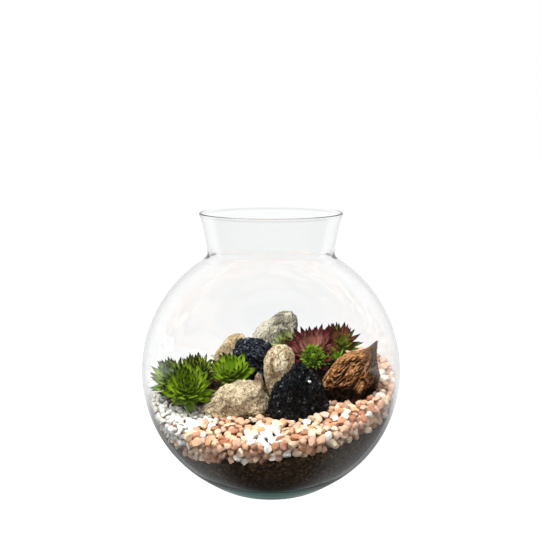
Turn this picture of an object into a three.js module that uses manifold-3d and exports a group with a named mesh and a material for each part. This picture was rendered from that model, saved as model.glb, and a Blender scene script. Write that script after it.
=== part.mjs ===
// A planted glass bowl: a blown ball vase with a flared collar, a bank of potting soil, a ring of pink and
// white gravel against the glass, five stones, two lava rocks, driftwood and houseleek rosettes.
// Millimetres, +Z up, front towards -Y, origin under the middle of the flat base.
import * as THREE from "three";
import { ConvexGeometry } from "three/addons/geometries/ConvexGeometry.js";
import { mergeVertices } from "three/addons/utils/BufferGeometryUtils.js";
import Module from "manifold-3d";

const wasm = await Module();
wasm.setup();

// ---- driving dimensions: the glass ----
const BOWL_HEIGHT = 271.4;
const BELLY_Z = 117.5;
const BOWL_RADIUS = 125; // outside, at the belly
const UPPER_HALF_HEIGHT = 127; // the ball is a little taller than wide above the belly
const LOWER_HALF_HEIGHT = 123; // and a little flatter below it
const WALL = 3;
const BASE_RADIUS = 38; // the flat that it stands on
const FLOOR_Z = 6; // inside floor: the base is thick
const NECK_RADIUS = 60.9; // outside, at the collar's root
const RIM_RADIUS = 68.9; // outside, at the lip
const NECK_WALL = 2.6;
const SHOULDER_Z = BELLY_Z + 106; // where the ball starts to turn up into the collar
const COLLAR_Z = BELLY_Z + 116; // where the collar runs straight
const FLARE_Z = 249; // where the collar starts to open
const FOOT_Z = BELLY_Z - 98; // where the ball starts to turn under into the base
const SIDES = 32; // facets round the bowl

// ---- driving dimensions: soil and gravel ----
const GAP = 0.4; // between touching pieces
const SURFACE_MID = 98; // height of the planted surface at the middle
const RISE_TO_BACK = 0.19;
const RISE_TO_RIGHT = 0.1;
const RISE_AT_SIDES = 9; // more, out at the glass on the left and on the right
const MOUND = { x: 46, y: 16, height: 9, spread: 30 }; // soil heaped under the purple plants
const PLANTED = { x: -4, y: 9, halfX: 101, halfY: 61 }; // the oval of bare soil inside the gravel ring
const GRAVEL_FRONT = 20; // thickness of the gravel at the glass
const GRAVEL_SIDE_EXTRA = 8; // more on the left and on the right
const GRAVEL_CORNER_EXTRA = 6; // and more at the front on the left
const GRAVEL_INSIDE = 9; // its thickness where it meets the bare soil
const PEBBLE = 20; // the ring's pebbles are larger than life
const COLUMNS = 32; // facets round the soil and the gravel
const WHITE_FROM = 112.5; // degrees from +X, round by the back: the white gravel's share of the ring
const WHITE_TO = 225;
const RING_RADIUS = 131; // both layers are made wider than the room, which then trims them
const RING_SHARES = [1, 1.08, 1.5, 2]; // the ring's steps: 1 is its inner edge and 2 the trimmed outside
const SOIL_SHARES = [0, 0.5, 0.88, ...RING_SHARES]; // the soil's steps, from the middle
const SOIL_FROM_Z = -6; // below the floor, to be trimmed
const BED_DROP = 6; // the bed's top lies this far under the gravel's surface
const GRAVEL_TO_Z = 178; // above every pebble
const SECTOR_GAP = 0.12; // degrees left free at a sector's ends
const PEBBLE_MARGIN = 5; // degrees past a sector's ends where pebbles are still placed, to be trimmed

const GOLDEN_ANGLE = THREE.MathUtils.degToRad(137.508);
const UP = new THREE.Vector3(0, 0, 1);

// ---- helpers ----
// A repeatable random draw from 0 to 1.
function seeded(seed) {
  let state = seed >>> 0;
  return () => {
    state = (state + 0x6d2b79f5) >>> 0;
    let mixed = Math.imul(state ^ (state >>> 15), state | 1);
    mixed ^= mixed + Math.imul(mixed ^ (mixed >>> 7), mixed | 61);
    return ((mixed ^ (mixed >>> 14)) >>> 0) / 4294967296;
  };
}

function solidOf(geometry) {
  const bare = new THREE.BufferGeometry();
  bare.setAttribute("position", geometry.getAttribute("position"));
  if (geometry.index) bare.setIndex(geometry.index);
  const merged = mergeVertices(bare, 1e-4);
  const vertProperties = new Float32Array(merged.getAttribute("position").array);
  const triVerts = new Uint32Array(merged.index.array);
  return new wasm.Manifold(new wasm.Mesh({ numProp: 3, vertProperties, triVerts }));
}

function joined(solids) {
  return solids.reduce((all, one) => all.add(one));
}

// The largest body of a solid: scraps that a cut leaves are dropped.
function largest(solid) {
  return solid.decompose().reduce((a, b) => (b.volume() > a.volume() ? b : a));
}

function meshOf(name, solid, material) {
  const { vertProperties, triVerts } = solid.getMesh();
  const geometry = new THREE.BufferGeometry();
  geometry.setAttribute("position", new THREE.BufferAttribute(new Float32Array(vertProperties), 3));
  geometry.setIndex(new THREE.BufferAttribute(new Uint32Array(triVerts), 1));
  const mesh = new THREE.Mesh(geometry, material);
  mesh.name = name;
  return mesh;
}

function finish(color, roughness, extra = {}) {
  return new THREE.MeshStandardMaterial({ color, roughness, metalness: 0, flatShading: true, ...extra });
}

// Points of a smooth bend from one point to another, pulled towards a corner.
function bend(from, corner, to, steps) {
  const ends = [from, corner, to].map((point) => new THREE.Vector2(...point));
  return new THREE.QuadraticBezierCurve(...ends).getPoints(steps);
}

// ---- glass bowl ----
// Points of the ball's outline between two heights, moved in from the outside by a depth.
function ballArc(depth, fromZ, toZ, steps) {
  const radius = BOWL_RADIUS - depth;
  const halfHeight = (side) => (side < 0 ? LOWER_HALF_HEIGHT : UPPER_HALF_HEIGHT) - depth;
  const angleAt = (z) => Math.asin((z - BELLY_Z) / halfHeight(z - BELLY_Z));
  const from = angleAt(fromZ);
  const to = angleAt(toZ);
  return Array.from({ length: steps + 1 }, (_, i) => {
    const angle = from + ((to - from) * i) / steps;
    return new THREE.Vector2(radius * Math.cos(angle), BELLY_Z + halfHeight(angle) * Math.sin(angle));
  });
}

function turned(points) {
  return new THREE.LatheGeometry(points, SIDES).rotateX(Math.PI / 2);
}

// The inside outline from the middle of the floor up to the shoulder, moved in by a clearance.
function innerOutline(clearance) {
  const floor = FLOOR_Z + clearance;
  const ball = ballArc(WALL + clearance, FOOT_Z + 6, SHOULDER_Z, 8);
  const foot = bend([BASE_RADIUS, floor], [BASE_RADIUS + 15, floor + 0.6], ball[0].toArray(), 2);
  return [new THREE.Vector2(0, floor), ...foot, ...ball.slice(1)];
}

function glassBowl() {
  const ball = ballArc(0, FOOT_Z, SHOULDER_Z, 8);
  const inner = innerOutline(0);
  const underLip = [RIM_RADIUS - 0.4, BOWL_HEIGHT - 2];
  const outside = [
    new THREE.Vector2(0, 0),
    ...bend([BASE_RADIUS, 0], [BASE_RADIUS + 11, 0.6], ball[0].toArray(), 2),
    ...ball.slice(1),
    ...bend(ball.at(-1).toArray(), [NECK_RADIUS, COLLAR_Z - 5], [NECK_RADIUS, COLLAR_Z], 2).slice(1),
    ...bend([NECK_RADIUS, COLLAR_Z], [NECK_RADIUS + 1.4, FLARE_Z], underLip, 3).slice(1),
  ];
  const lip = [
    new THREE.Vector2(RIM_RADIUS, BOWL_HEIGHT - 0.9),
    new THREE.Vector2(RIM_RADIUS - 0.8, BOWL_HEIGHT),
    new THREE.Vector2(RIM_RADIUS - 2.4, BOWL_HEIGHT),
  ];
  const innerNeck = NECK_RADIUS - NECK_WALL;
  const innerRim = RIM_RADIUS - NECK_WALL - 0.6;
  const inside = [
    ...bend([innerRim, BOWL_HEIGHT - 1.2], [innerNeck + 1.4, FLARE_Z], [innerNeck, COLLAR_Z], 3),
    ...bend([innerNeck, COLLAR_Z], [innerNeck, COLLAR_Z - 6], inner.at(-1).toArray(), 2).slice(1),
    ...inner.slice(0, -1).reverse(),
  ];
  return solidOf(turned([...outside, ...lip, ...inside]));
}

// The room inside the glass up to the shoulder, moved in by a clearance.
function room(clearance) {
  const outline = innerOutline(clearance);
  return solidOf(turned([...outline, new THREE.Vector2(0, outline.at(-1).y)]));
}

// ---- the planted surface ----
function surfaceAt(x, y) {
  return SURFACE_MID + RISE_TO_BACK * y + RISE_TO_RIGHT * x + RISE_AT_SIDES * (x / 120) ** 2;
}

function moundAt(x, y) {
  const away = Math.hypot(x - MOUND.x, y - MOUND.y) / MOUND.spread;
  return MOUND.height * Math.exp(-away * away);
}

// A point of the ground: share 0 is the middle of the planted oval, 1 its edge and 2 the trimmed outside.
function groundPoint(share, angle) {
  const ray = new THREE.Vector2(Math.cos(angle), Math.sin(angle));
  const middle = new THREE.Vector2(PLANTED.x, PLANTED.y);
  const edge = new THREE.Vector2(PLANTED.halfX, PLANTED.halfY).multiply(ray).add(middle);
  if (share <= 1) return middle.lerp(edge, share);
  const outside = ray.multiplyScalar(RING_RADIUS);
  return edge.lerp(outside, share - 1);
}

function gravelDepthAt(share, x, y) {
  const corner = Math.exp(-(((x + 75) / 45) ** 2) - ((y + 80) / 45) ** 2);
  const atGlass = GRAVEL_FRONT + GRAVEL_SIDE_EXTRA * (x / 115) ** 2 + GRAVEL_CORNER_EXTRA * corner;
  return THREE.MathUtils.lerp(GRAVEL_INSIDE, atGlass, THREE.MathUtils.clamp((share - 1) * 1.4, 0, 1));
}

function soilTopAt(share, x, y) {
  if (share <= 1) return surfaceAt(x, y) + moundAt(x, y) - 1;
  return surfaceAt(x, y) - gravelDepthAt(share, x, y);
}

// A closed layer over a sector of the ground, between two heights, at the given shares of the way out.
function layer(shares, bottomAt, topAt, fromDegrees, toDegrees) {
  const columns = Math.round(((toDegrees - fromDegrees) * COLUMNS) / 360);
  const whole = columns === COLUMNS;
  const stations = whole ? columns : columns + 1;
  const position = [];
  const index = [];
  for (const heightAt of [bottomAt, topAt])
    for (const share of shares)
      for (let column = 0; column < stations; column++) {
        const degrees = fromDegrees + ((toDegrees - fromDegrees) * column) / columns;
        const at = groundPoint(share, THREE.MathUtils.degToRad(degrees));
        position.push(at.x, at.y, heightAt(share, at.x, at.y));
      }
  const bottom = (ring, column) => ring * stations + (column % stations);
  const top = (ring, column) => bottom(ring, column) + shares.length * stations;
  const quad = (a, b, c, d) => index.push(a, b, c, a, c, d);
  const last = shares.length - 1;
  for (let column = 0; column < columns; column++) {
    const next = column + 1;
    for (let ring = 0; ring < last; ring++) {
      quad(top(ring, column), top(ring + 1, column), top(ring + 1, next), top(ring, next));
      quad(bottom(ring, column), bottom(ring, next), bottom(ring + 1, next), bottom(ring + 1, column));
    }
    quad(bottom(last, column), bottom(last, next), top(last, next), top(last, column));
    if (shares[0] > 0) quad(top(0, column), top(0, next), bottom(0, next), bottom(0, column));
  }
  if (!whole)
    for (let ring = 0; ring < last; ring++) {
      quad(bottom(ring, 0), bottom(ring + 1, 0), top(ring + 1, 0), top(ring, 0));
      quad(top(ring, columns), top(ring + 1, columns), bottom(ring + 1, columns), bottom(ring, columns));
    }
  const geometry = new THREE.BufferGeometry();
  geometry.setAttribute("position", new THREE.Float32BufferAttribute(position, 3));
  geometry.setIndex(index);
  return solidOf(withoutCollapsed(geometry));
}

// Triangles whose corners meet, as at the middle of the oval, are left out.
function withoutCollapsed(geometry) {
  const merged = mergeVertices(geometry, 1e-4);
  const index = merged.index.array;
  const kept = [];
  for (let i = 0; i < index.length; i += 3) {
    const [a, b, c] = [index[i], index[i + 1], index[i + 2]];
    if (a !== b && b !== c && c !== a) kept.push(a, b, c);
  }
  merged.setIndex(kept);
  return merged;
}

function soilBody() {
  return layer(SOIL_SHARES, () => SOIL_FROM_Z, soilTopAt, 0, 360).intersect(room(GAP));
}

// ---- gravel ----
// A chipped pebble: the hull of a cube's corners, each pushed about, with one corner missing.
function pebble(size, draw) {
  const stretch = new THREE.Vector3(0.8 + 0.45 * draw(), 0.75 + 0.4 * draw(), 0.6 + 0.3 * draw());
  const turn = new THREE.Euler(0.7 * (draw() - 0.5), 0.7 * (draw() - 0.5), 2 * Math.PI * draw());
  const pushed = (side) => side * (0.55 + 0.5 * draw());
  const corners = [];
  for (const x of [-1, 1])
    for (const y of [-1, 1])
      for (const z of [-1, 1]) {
        const corner = new THREE.Vector3(pushed(x), pushed(y), pushed(z)).multiply(stretch);
        corners.push(corner.multiplyScalar(size * 0.44).applyEuler(turn));
      }
  corners.splice(Math.floor(8 * draw()), 1);
  return new ConvexGeometry(corners);
}

// The rows of pebbles: how far each lies in from the glass and under the surface. The last one is a lower row
// against the glass.
const PEBBLE_ROWS = [
  { inset: 3, drop: 3 },
  { inset: 19, drop: 4 },
  { inset: 35, drop: 4.5 },
  { inset: 51, drop: 5 },
  { inset: 4, drop: 17 },
];
const OVAL_MARGIN = 1.06; // pebbles start this far outside the bare soil's edge, as a share of it

// The places of a sector's pebbles.
function pebblePlaces(fromDegrees, toDegrees, draw) {
  const places = [];
  const span = toDegrees - fromDegrees + 2 * PEBBLE_MARGIN;
  for (const { inset, drop } of PEBBLE_ROWS) {
    const radius = BOWL_RADIUS - WALL - inset;
    const around = Math.round((2 * Math.PI * radius) / PEBBLE);
    const offset = draw();
    for (let i = 0; i < around; i++) {
      const degrees = (360 * (i + offset + 0.3 * (draw() - 0.5))) / around;
      const angle = THREE.MathUtils.degToRad(degrees);
      const x = radius * Math.cos(angle);
      const y = radius * Math.sin(angle);
      const fromStart = THREE.MathUtils.euclideanModulo(degrees - fromDegrees + PEBBLE_MARGIN, 360);
      const oval = Math.hypot((x - PLANTED.x) / PLANTED.halfX, (y - PLANTED.y) / PLANTED.halfY);
      if (fromStart > span || oval < OVAL_MARGIN) continue;
      places.push(new THREE.Vector3(x, y, surfaceAt(x, y) - drop));
    }
  }
  return places;
}

// A sector of the ring: its bed and the pebbles that stand out of it, trimmed to what is around.
function gravelSector(fromDegrees, toDegrees, seed) {
  const draw = seeded(seed);
  const from = fromDegrees + SECTOR_GAP;
  const to = toDegrees - SECTOR_GAP;
  const onSoil = (share, x, y) => soilTopAt(share, x, y) + GAP;
  const bedTop = (share, x, y) => surfaceAt(x, y) - BED_DROP;
  const bed = layer(RING_SHARES.slice(1), onSoil, bedTop, from, to);
  const place = layer(RING_SHARES, onSoil, () => GRAVEL_TO_Z, from, to);
  const stones = pebblePlaces(fromDegrees, toDegrees, draw).map((at) => {
    return solidOf(pebble(PEBBLE, draw).translate(at.x, at.y, at.z));
  });
  const heap = joined([bed.intersect(room(PEBBLE * 0.25)), ...stones]);
  return heap.intersect(place).intersect(room(GAP));
}

// ---- stones and driftwood ----
// Each is given by its outline as seen from the front, in mm across and up from its centre, and by half
// its depth.
const STONES = [
  {
    name: "front_boulder",
    at: [-33.5, -37, 95.7],
    outline: [
      [-32, -10], [-29, -2], [-19, 7], [-6, 15], [7, 19], [16, 17], [26, 11], [32, 3], [33, -6], [29, -15],
      [20, -21], [4, -23], [-17, -21], [-30, -16],
    ],
    depth: 23,
    lumps: 0.05,
    detail: 3,
    seed: 11,
  },
  {
    name: "front_lava_rock",
    at: [25.1, -50, 106.4],
    outline: [
      [4, 29], [11, 26], [15, 22], [20, 14], [25, -3], [28, -10], [28, -18], [22, -27], [11, -33], [0, -33],
      [-12, -30], [-24, -26], [-28, -18], [-24, -3], [-19, 9], [-11, 20], [-3, 27],
    ],
    depth: 25,
    lumps: 0.09,
    detail: 3,
    seed: 22,
  },
  {
    name: "standing_stone",
    at: [7.4, -8, 120],
    outline: [
      [2, 25], [11, 22], [15, 14], [15, 5], [10, -5], [5, -16], [1, -27], [-4, -31], [-9, -27], [-11, -17],
      [-14, -7], [-15, 1], [-14, 9], [-10, 17], [-4, 23],
    ],
    depth: 12,
    lumps: 0.05,
    detail: 3,
    seed: 33,
  },
  {
    name: "back_rock",
    at: [3.1, 55, 146.7],
    outline: [
      [12, 22], [21, 16], [24, 8], [24, 0], [21, -12], [16, -28], [2, -42], [-14, -42], [-22, -34],
      [-25, -20], [-21, -4], [-14, 4], [-3, 10], [4, 16],
    ],
    depth: 15,
    lumps: 0.06,
    detail: 2,
    seed: 44,
  },
  {
    name: "back_small_stone",
    at: [-38.5, 47, 132],
    outline: [
      [9, 13], [14, 5], [15, -8], [12, -22], [3, -31], [-12, -31], [-20, -23], [-19, -10], [-14, -2], [-7, 6],
      [2, 12],
    ],
    depth: 12,
    lumps: 0.05,
    detail: 2,
    seed: 55,
  },
  {
    name: "back_lava_rock",
    at: [-17, 22, 127.5],
    outline: [
      [-15, 14], [-7, 15], [5, 16], [13, 12], [19, 7], [19, -6], [15, -20], [4, -34], [-9, -34], [-17, -22],
      [-21, -6], [-19, 5],
    ],
    depth: 14,
    lumps: 0.1,
    detail: 2,
    seed: 66,
  },
  {
    name: "small_brown_stone",
    at: [-12, -14, 110],
    outline: [
      [0, 8], [3, 5], [5, -3], [5, -14], [2, -21], [-2, -21], [-6, -13], [-5, -3], [-3, 5],
    ],
    depth: 6,
    lumps: 0.06,
    detail: 2,
    seed: 77,
  },
];

const DRIFTWOOD = {
  name: "driftwood",
  at: [75.9, -31, 121.8],
  outline: [
    [26, 31], [27, 20], [27, 3], [25, -6], [21, -20], [16, -29], [6, -33], [-4, -33], [-15, -30], [-24, -25],
    [-27, -10], [-22, 0], [-12, 12], [0, 20], [12, 22], [19, 26],
  ],
  depth: 22,
  lumps: 0.03,
  detail: 4,
  seed: 88,
  ridges: { height: 2.2, pitch: 9.5, lean: 0.62 },
};

const FACET_SWELL = 1.03; // makes up for the flat faces, which lie inside the outline
const FACET_PRESS = 0.75; // how much of what stands past a facet is pressed back to it
const BLUFFNESS = 0.82; // under 1 the sides stand steeper than a ball's

// How far an outline reaches from its centre in a direction.
function reachOf(outline, angle) {
  const ray = new THREE.Vector2(Math.cos(angle), Math.sin(angle));
  let reach = 0;
  outline.forEach(([x, y], i) => {
    const next = outline[(i + 1) % outline.length];
    const from = new THREE.Vector2(x, y);
    const along = new THREE.Vector2(...next).sub(from);
    const bottom = ray.cross(along);
    if (Math.abs(bottom) < 1e-9) return;
    const onRay = from.cross(along) / bottom;
    const onEdge = from.cross(ray) / bottom;
    if (onEdge > -1e-9 && onEdge < 1 + 1e-9) reach = Math.max(reach, onRay);
  });
  return reach;
}

// A smooth seeded unevenness over a direction, from -1 to 1.
function unevenness(seed) {
  const draw = seeded(seed);
  const waves = Array.from({ length: 7 }, () => ({
    along: new THREE.Vector3(draw() - 0.5, draw() - 0.5, draw() - 0.5).setLength(2.5 + 5 * draw()),
    phase: 2 * Math.PI * draw(),
  }));
  return (direction) => {
    return waves.reduce((sum, { along, phase }) => sum + Math.sin(along.dot(direction) + phase), 0) / 4;
  };
}

// A stone with the given outline from the front, rounded to the front and back and cut by a few flat facets.
function stone({ at, outline, depth, lumps, detail, seed, ridges }) {
  const ball = new THREE.IcosahedronGeometry(1, detail);
  const draw = seeded(seed);
  const uneven = unevenness(seed + 1);
  const facets = Array.from({ length: 6 }, () => {
    const normal = new THREE.Vector3(1.2 * (draw() - 0.5), Math.sign(draw() - 0.5), 1.2 * (draw() - 0.5));
    return { normal: normal.normalize(), limit: 0.72 + 0.16 * draw() };
  });
  const position = ball.getAttribute("position");
  const point = new THREE.Vector3();
  for (let i = 0; i < position.count; i++) {
    point.fromBufferAttribute(position, i).normalize();
    const swell = 1 + lumps * uneven(point);
    for (const { normal, limit } of facets) {
      const over = point.dot(normal) - limit;
      if (over > 0) point.addScaledVector(normal, -FACET_PRESS * over);
    }
    const angle = Math.atan2(point.z, point.x);
    const reach = FACET_SWELL * reachOf(outline, angle) * (0.5 + 0.5 * swell);
    const flat = Math.hypot(point.x, point.z) ** BLUFFNESS * reach;
    point.set(flat * Math.cos(angle), point.y * depth * swell, flat * Math.sin(angle));
    if (ridges) grain(point, ridges);
    position.setXYZ(i, point.x, point.y, point.z);
  }
  return solidOf(ball.translate(...at));
}

// Coarse ridges that run along the wood's grain, from the lower left to the upper right.
function grain(point, { height, pitch, lean }) {
  const across = point.x * Math.sin(lean) - point.z * Math.cos(lean) + 0.25 * point.y;
  const wander = 1.6 * Math.sin((point.x * Math.cos(lean) + point.z * Math.sin(lean)) / 9);
  const ridge = Math.sin((2 * Math.PI * (across + wander)) / pitch);
  const outwards = point.clone().normalize();
  point.addScaledVector(outwards, height * ridge * Math.abs(outwards.y));
}

// ---- houseleek rosettes ----
// heart: where the leaves spring from; axis: where the rosette faces; reach: of its outermost leaves;
// open: how far those stand up from the rosette's own plane, in degrees; leaves: how many a full rosette
// has; outer: how many of them are kept where a heart of another colour takes the middle.
const ROSETTES = [
  {
    name: "green_rosette_left",
    heart: [-91, -8, 111],
    axis: [-0.4, -0.45, 1],
    reach: 30,
    leaves: 24,
    width: 12,
  },
  {
    name: "green_rosette_front",
    heart: [-72, -29, 103],
    axis: [0, -0.7, 0.9],
    reach: 27,
    leaves: 23,
    width: 12,
  },
  {
    name: "dark_tipped_rosette",
    heart: [-63, 17, 114],
    axis: [0.1, -0.3, 1],
    reach: 24,
    leaves: 22,
    width: 10,
  },
  {
    name: "bright_green_rosette",
    heart: [-37, -5, 114],
    axis: [-0.1, -0.5, 1],
    reach: 28,
    leaves: 22,
    width: 12,
  },
  {
    name: "purple_rosette",
    heart: [41, 10, 133],
    axis: [-0.1, -0.8, 0.65],
    reach: 29,
    open: 5,
    leaves: 30,
    width: 13,
    outer: 20,
  },
  {
    name: "red_rosette",
    heart: [69, 29, 139],
    axis: [0.15, -0.65, 0.8],
    reach: 25,
    open: 5,
    leaves: 30,
    width: 11,
    outer: 20,
  },
  {
    name: "small_green_rosette",
    heart: [63, 3, 127],
    axis: [-0.1, -0.8, 0.7],
    reach: 13,
    leaves: 13,
    width: 7,
  },
  {
    name: "light_green_rosette",
    heart: [14, 28, 138],
    axis: [-0.1, -0.3, 1],
    reach: 16,
    leaves: 14,
    width: 7,
  },
];
// The dense green hearts that sit on the core of an outer rosette.
const HEARTS = [
  {
    name: "purple_rosette_heart",
    on: "purple_rosette",
    axis: [-0.05, -1, 0.6],
    reach: 16,
    leaves: 16,
    width: 8,
  },
  {
    name: "red_rosette_heart",
    on: "red_rosette",
    axis: [-0.05, -0.8, 0.8],
    reach: 13,
    leaves: 14,
    width: 7,
  },
];
const LEAF_CLOSED = 78; // degrees that the innermost leaf stands up from the rosette's plane
const LEAF_CURL = 16; // more at the tip
const LEAF_THICKNESS = 0.24; // of its width
const LEAF_WIDEST = 0.62; // where along its length it is widest
const INNER_LEAF = 0.52; // length of the innermost leaf, of the outermost one's
const INNER_WIDTH = 0.62; // and its width
const CORE_SHARE = 0.19; // radius of the core, of the reach
const STEM_RADIUS = 3;
const STEM_DEPTH = 14; // in the soil
const STEM_SIDES = 8;
// Degrees that a leaf is bent up and the share of its length that it keeps, tried in this order.
const LEAF_TRIES = [
  [0, 1], [12, 1], [-14, 1], [24, 1], [-28, 0.9], [36, 1], [48, 1], [0, 0.75], [20, 0.75], [-20, 0.75],
  [60, 0.9], [36, 0.6], [0, 0.5], [-20, 0.5],
];

// A pointed, keeled leaf from the rosette's middle, as a hull: base, widest part and tip.
function leaf(azimuth, rise, length, width) {
  const out = new THREE.Vector3(Math.cos(azimuth), Math.sin(azimuth), 0);
  const side = new THREE.Vector3(-Math.sin(azimuth), Math.cos(azimuth), 0);
  const tipRise = rise + THREE.MathUtils.degToRad(LEAF_CURL);
  const along = out.clone().multiplyScalar(Math.cos(rise)).addScaledVector(UP, Math.sin(rise));
  const tipwards = out.clone().multiplyScalar(Math.cos(tipRise)).addScaledVector(UP, Math.sin(tipRise));
  const face = along.clone().cross(side);
  const thick = LEAF_THICKNESS * width;
  const at = (from, sideways, lift) => {
    return from.clone().addScaledVector(side, sideways * width).addScaledVector(face, lift * thick);
  };
  const base = along.clone().multiplyScalar(0.04 * length);
  const widest = along.clone().multiplyScalar(LEAF_WIDEST * length);
  const tip = widest.clone().addScaledVector(tipwards, (1 - LEAF_WIDEST) * length);
  return new ConvexGeometry([
    at(base, -0.26, 0),
    at(base, 0.26, 0),
    at(base, 0, -1),
    at(widest, -0.5, 0.25),
    at(widest, 0.5, 0.25),
    at(widest, 0, -1),
    tip,
  ]);
}

// True where a solid keeps its distance to all the others.
function isClear(solid, others) {
  return others.every((other) => solid.minGap(other, GAP) >= GAP - 0.05);
}

// A rosette's leaves, outermost first, each bent up or shortened until it is clear of what stands around.
function leavesOf({ heart, axis, reach, leaves, width, open = 0, outer = leaves }, around) {
  const facing = new THREE.Quaternion().setFromUnitVectors(UP, new THREE.Vector3(...axis).normalize());
  const place = new THREE.Matrix4().compose(new THREE.Vector3(...heart), facing, new THREE.Vector3(1, 1, 1));
  const made = [];
  for (let i = 0; i < outer; i++) {
    const inwards = i / (leaves - 1);
    const openness = THREE.MathUtils.lerp(open, LEAF_CLOSED, inwards ** 0.85);
    const length = reach * THREE.MathUtils.lerp(1, INNER_LEAF, inwards);
    const broad = width * THREE.MathUtils.lerp(1, INNER_WIDTH, inwards);
    for (const [more, share] of LEAF_TRIES) {
      const rise = THREE.MathUtils.degToRad(Math.min(LEAF_CLOSED, openness + more));
      const solid = solidOf(leaf(i * GOLDEN_ANGLE, rise, length * share, broad).applyMatrix4(place));
      if (!isClear(solid, around)) continue;
      made.push(solid);
      break;
    }
  }
  return made;
}

// The short stem under a rosette and, wider and deeper by a clearance, its hole in the soil.
function stem({ heart: [x, y, z] }, clearance) {
  const bottom = surfaceAt(x, y) + moundAt(x, y) - STEM_DEPTH - clearance;
  const radius = STEM_RADIUS + clearance;
  const shape = new THREE.CylinderGeometry(radius, radius, z - bottom, STEM_SIDES).rotateX(Math.PI / 2);
  return solidOf(shape.translate(x, y, (z + bottom) / 2));
}

function core({ heart, reach }) {
  return solidOf(new THREE.IcosahedronGeometry(CORE_SHARE * reach, 0).translate(...heart));
}

// Where a heart springs from: it has no stem and sits against the outer rosette's core.
function heartPlace({ on, axis, reach }) {
  const outer = ROSETTES.find(({ name }) => name === on);
  const forward = CORE_SHARE * (outer.reach + reach) + GAP;
  const facing = new THREE.Vector3(...axis).normalize();
  return new THREE.Vector3(...outer.heart).addScaledVector(facing, forward).toArray();
}

// All the rosettes, hearts first: cores and stems are set, then each one's leaves find their way between.
function grown(around) {
  const hearts = HEARTS.map((spec) => ({ ...spec, heart: heartPlace(spec) }));
  const plants = [
    ...hearts.map((spec) => ({ spec, body: core(spec) })),
    ...ROSETTES.map((spec) => ({ spec, body: joined([core(spec), stem(spec, 0)]) })),
  ];
  for (const plant of plants) {
    const others = plants.filter((other) => other !== plant).map(({ body }) => body);
    plant.body = joined([plant.body, ...leavesOf(plant.spec, [...around, ...others])]);
  }
  return plants;
}

// ---- the assembly ----
const GLASS = finish("#e9f1ee", 0.05, { transparent: true, opacity: 0.25 });
const SOIL = finish("#33241b", 0.95);
const PINK_GRAVEL = finish("#dba78c", 0.6);
const WHITE_GRAVEL = finish("#eeece6", 0.6);
const PLANT_COLOURS = {
  green_rosette_left: "#5c8a2c",
  green_rosette_front: "#6a9c2e",
  dark_tipped_rosette: "#56702f",
  bright_green_rosette: "#86b53a",
  purple_rosette: "#6d3340",
  red_rosette: "#6b3030",
  small_green_rosette: "#79a83c",
  light_green_rosette: "#8fa35c",
  purple_rosette_heart: "#5f9a2c",
  red_rosette_heart: "#79a83c",
};
const STONE_COLOURS = {
  front_boulder: "#a8987c",
  front_lava_rock: "#1f1f23",
  standing_stone: "#b3a283",
  back_rock: "#a39d8d",
  back_small_stone: "#b39a80",
  back_lava_rock: "#2b2d38",
  small_brown_stone: "#a58d75",
};

// A stone swollen by a clearance about its own middle, which is the hollow that it lies in.
function hollowOf(solid, clearance) {
  const { min, max } = solid.boundingBox();
  const middle = min.map((low, i) => (low + max[i]) / 2);
  const swell = min.map((low, i) => 1 + (2 * clearance) / (max[i] - low));
  return solid.translate(middle.map((v) => -v)).scale(swell).translate(middle);
}

function terrarium() {
  const bowl = glassBowl();
  const stones = STONES.map((spec) => ({ name: spec.name, solid: stone(spec) }));
  const wood = stone(DRIFTWOOD);
  const hollows = joined([...stones.map(({ solid }) => solid), wood].map((solid) => hollowOf(solid, GAP)));
  const holes = joined(ROSETTES.map((spec) => stem(spec, GAP)));
  const soil = largest(soilBody().subtract(hollows).subtract(holes));
  const pink = largest(gravelSector(WHITE_TO, WHITE_FROM + 360, 3).subtract(hollows));
  const white = largest(gravelSector(WHITE_FROM, WHITE_TO, 4).subtract(hollows));

  const group = new THREE.Group();
  group.add(meshOf("glass_bowl", bowl, GLASS));
  group.add(meshOf("soil", soil, SOIL));
  group.add(meshOf("pink_gravel", pink, PINK_GRAVEL));
  group.add(meshOf("white_gravel", white, WHITE_GRAVEL));
  for (const { name, solid } of stones) group.add(meshOf(name, solid, finish(STONE_COLOURS[name], 0.9)));
  group.add(meshOf(DRIFTWOOD.name, wood, finish("#7a5132", 0.85)));

  const around = [bowl, soil, pink, white, ...stones.map(({ solid }) => solid), wood];
  for (const { spec, body } of grown(around)) {
    group.add(meshOf(spec.name, body, finish(PLANT_COLOURS[spec.name], 0.6)));
  }
  return group;
}

export default terrarium();
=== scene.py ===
"""The looks of a planted glass bowl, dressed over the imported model: clear glass, potting soil, pink and white
gravel, stones, lava rocks, driftwood and houseleek rosettes. Lengths are in metres, and MM is a millimetre."""

import math
import random
from contextlib import contextmanager

import bpy
import numpy as np
from bpy.props import FloatProperty, FloatVectorProperty, IntProperty, PointerProperty
from mathutils import Euler, Matrix, Vector, noise


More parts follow.
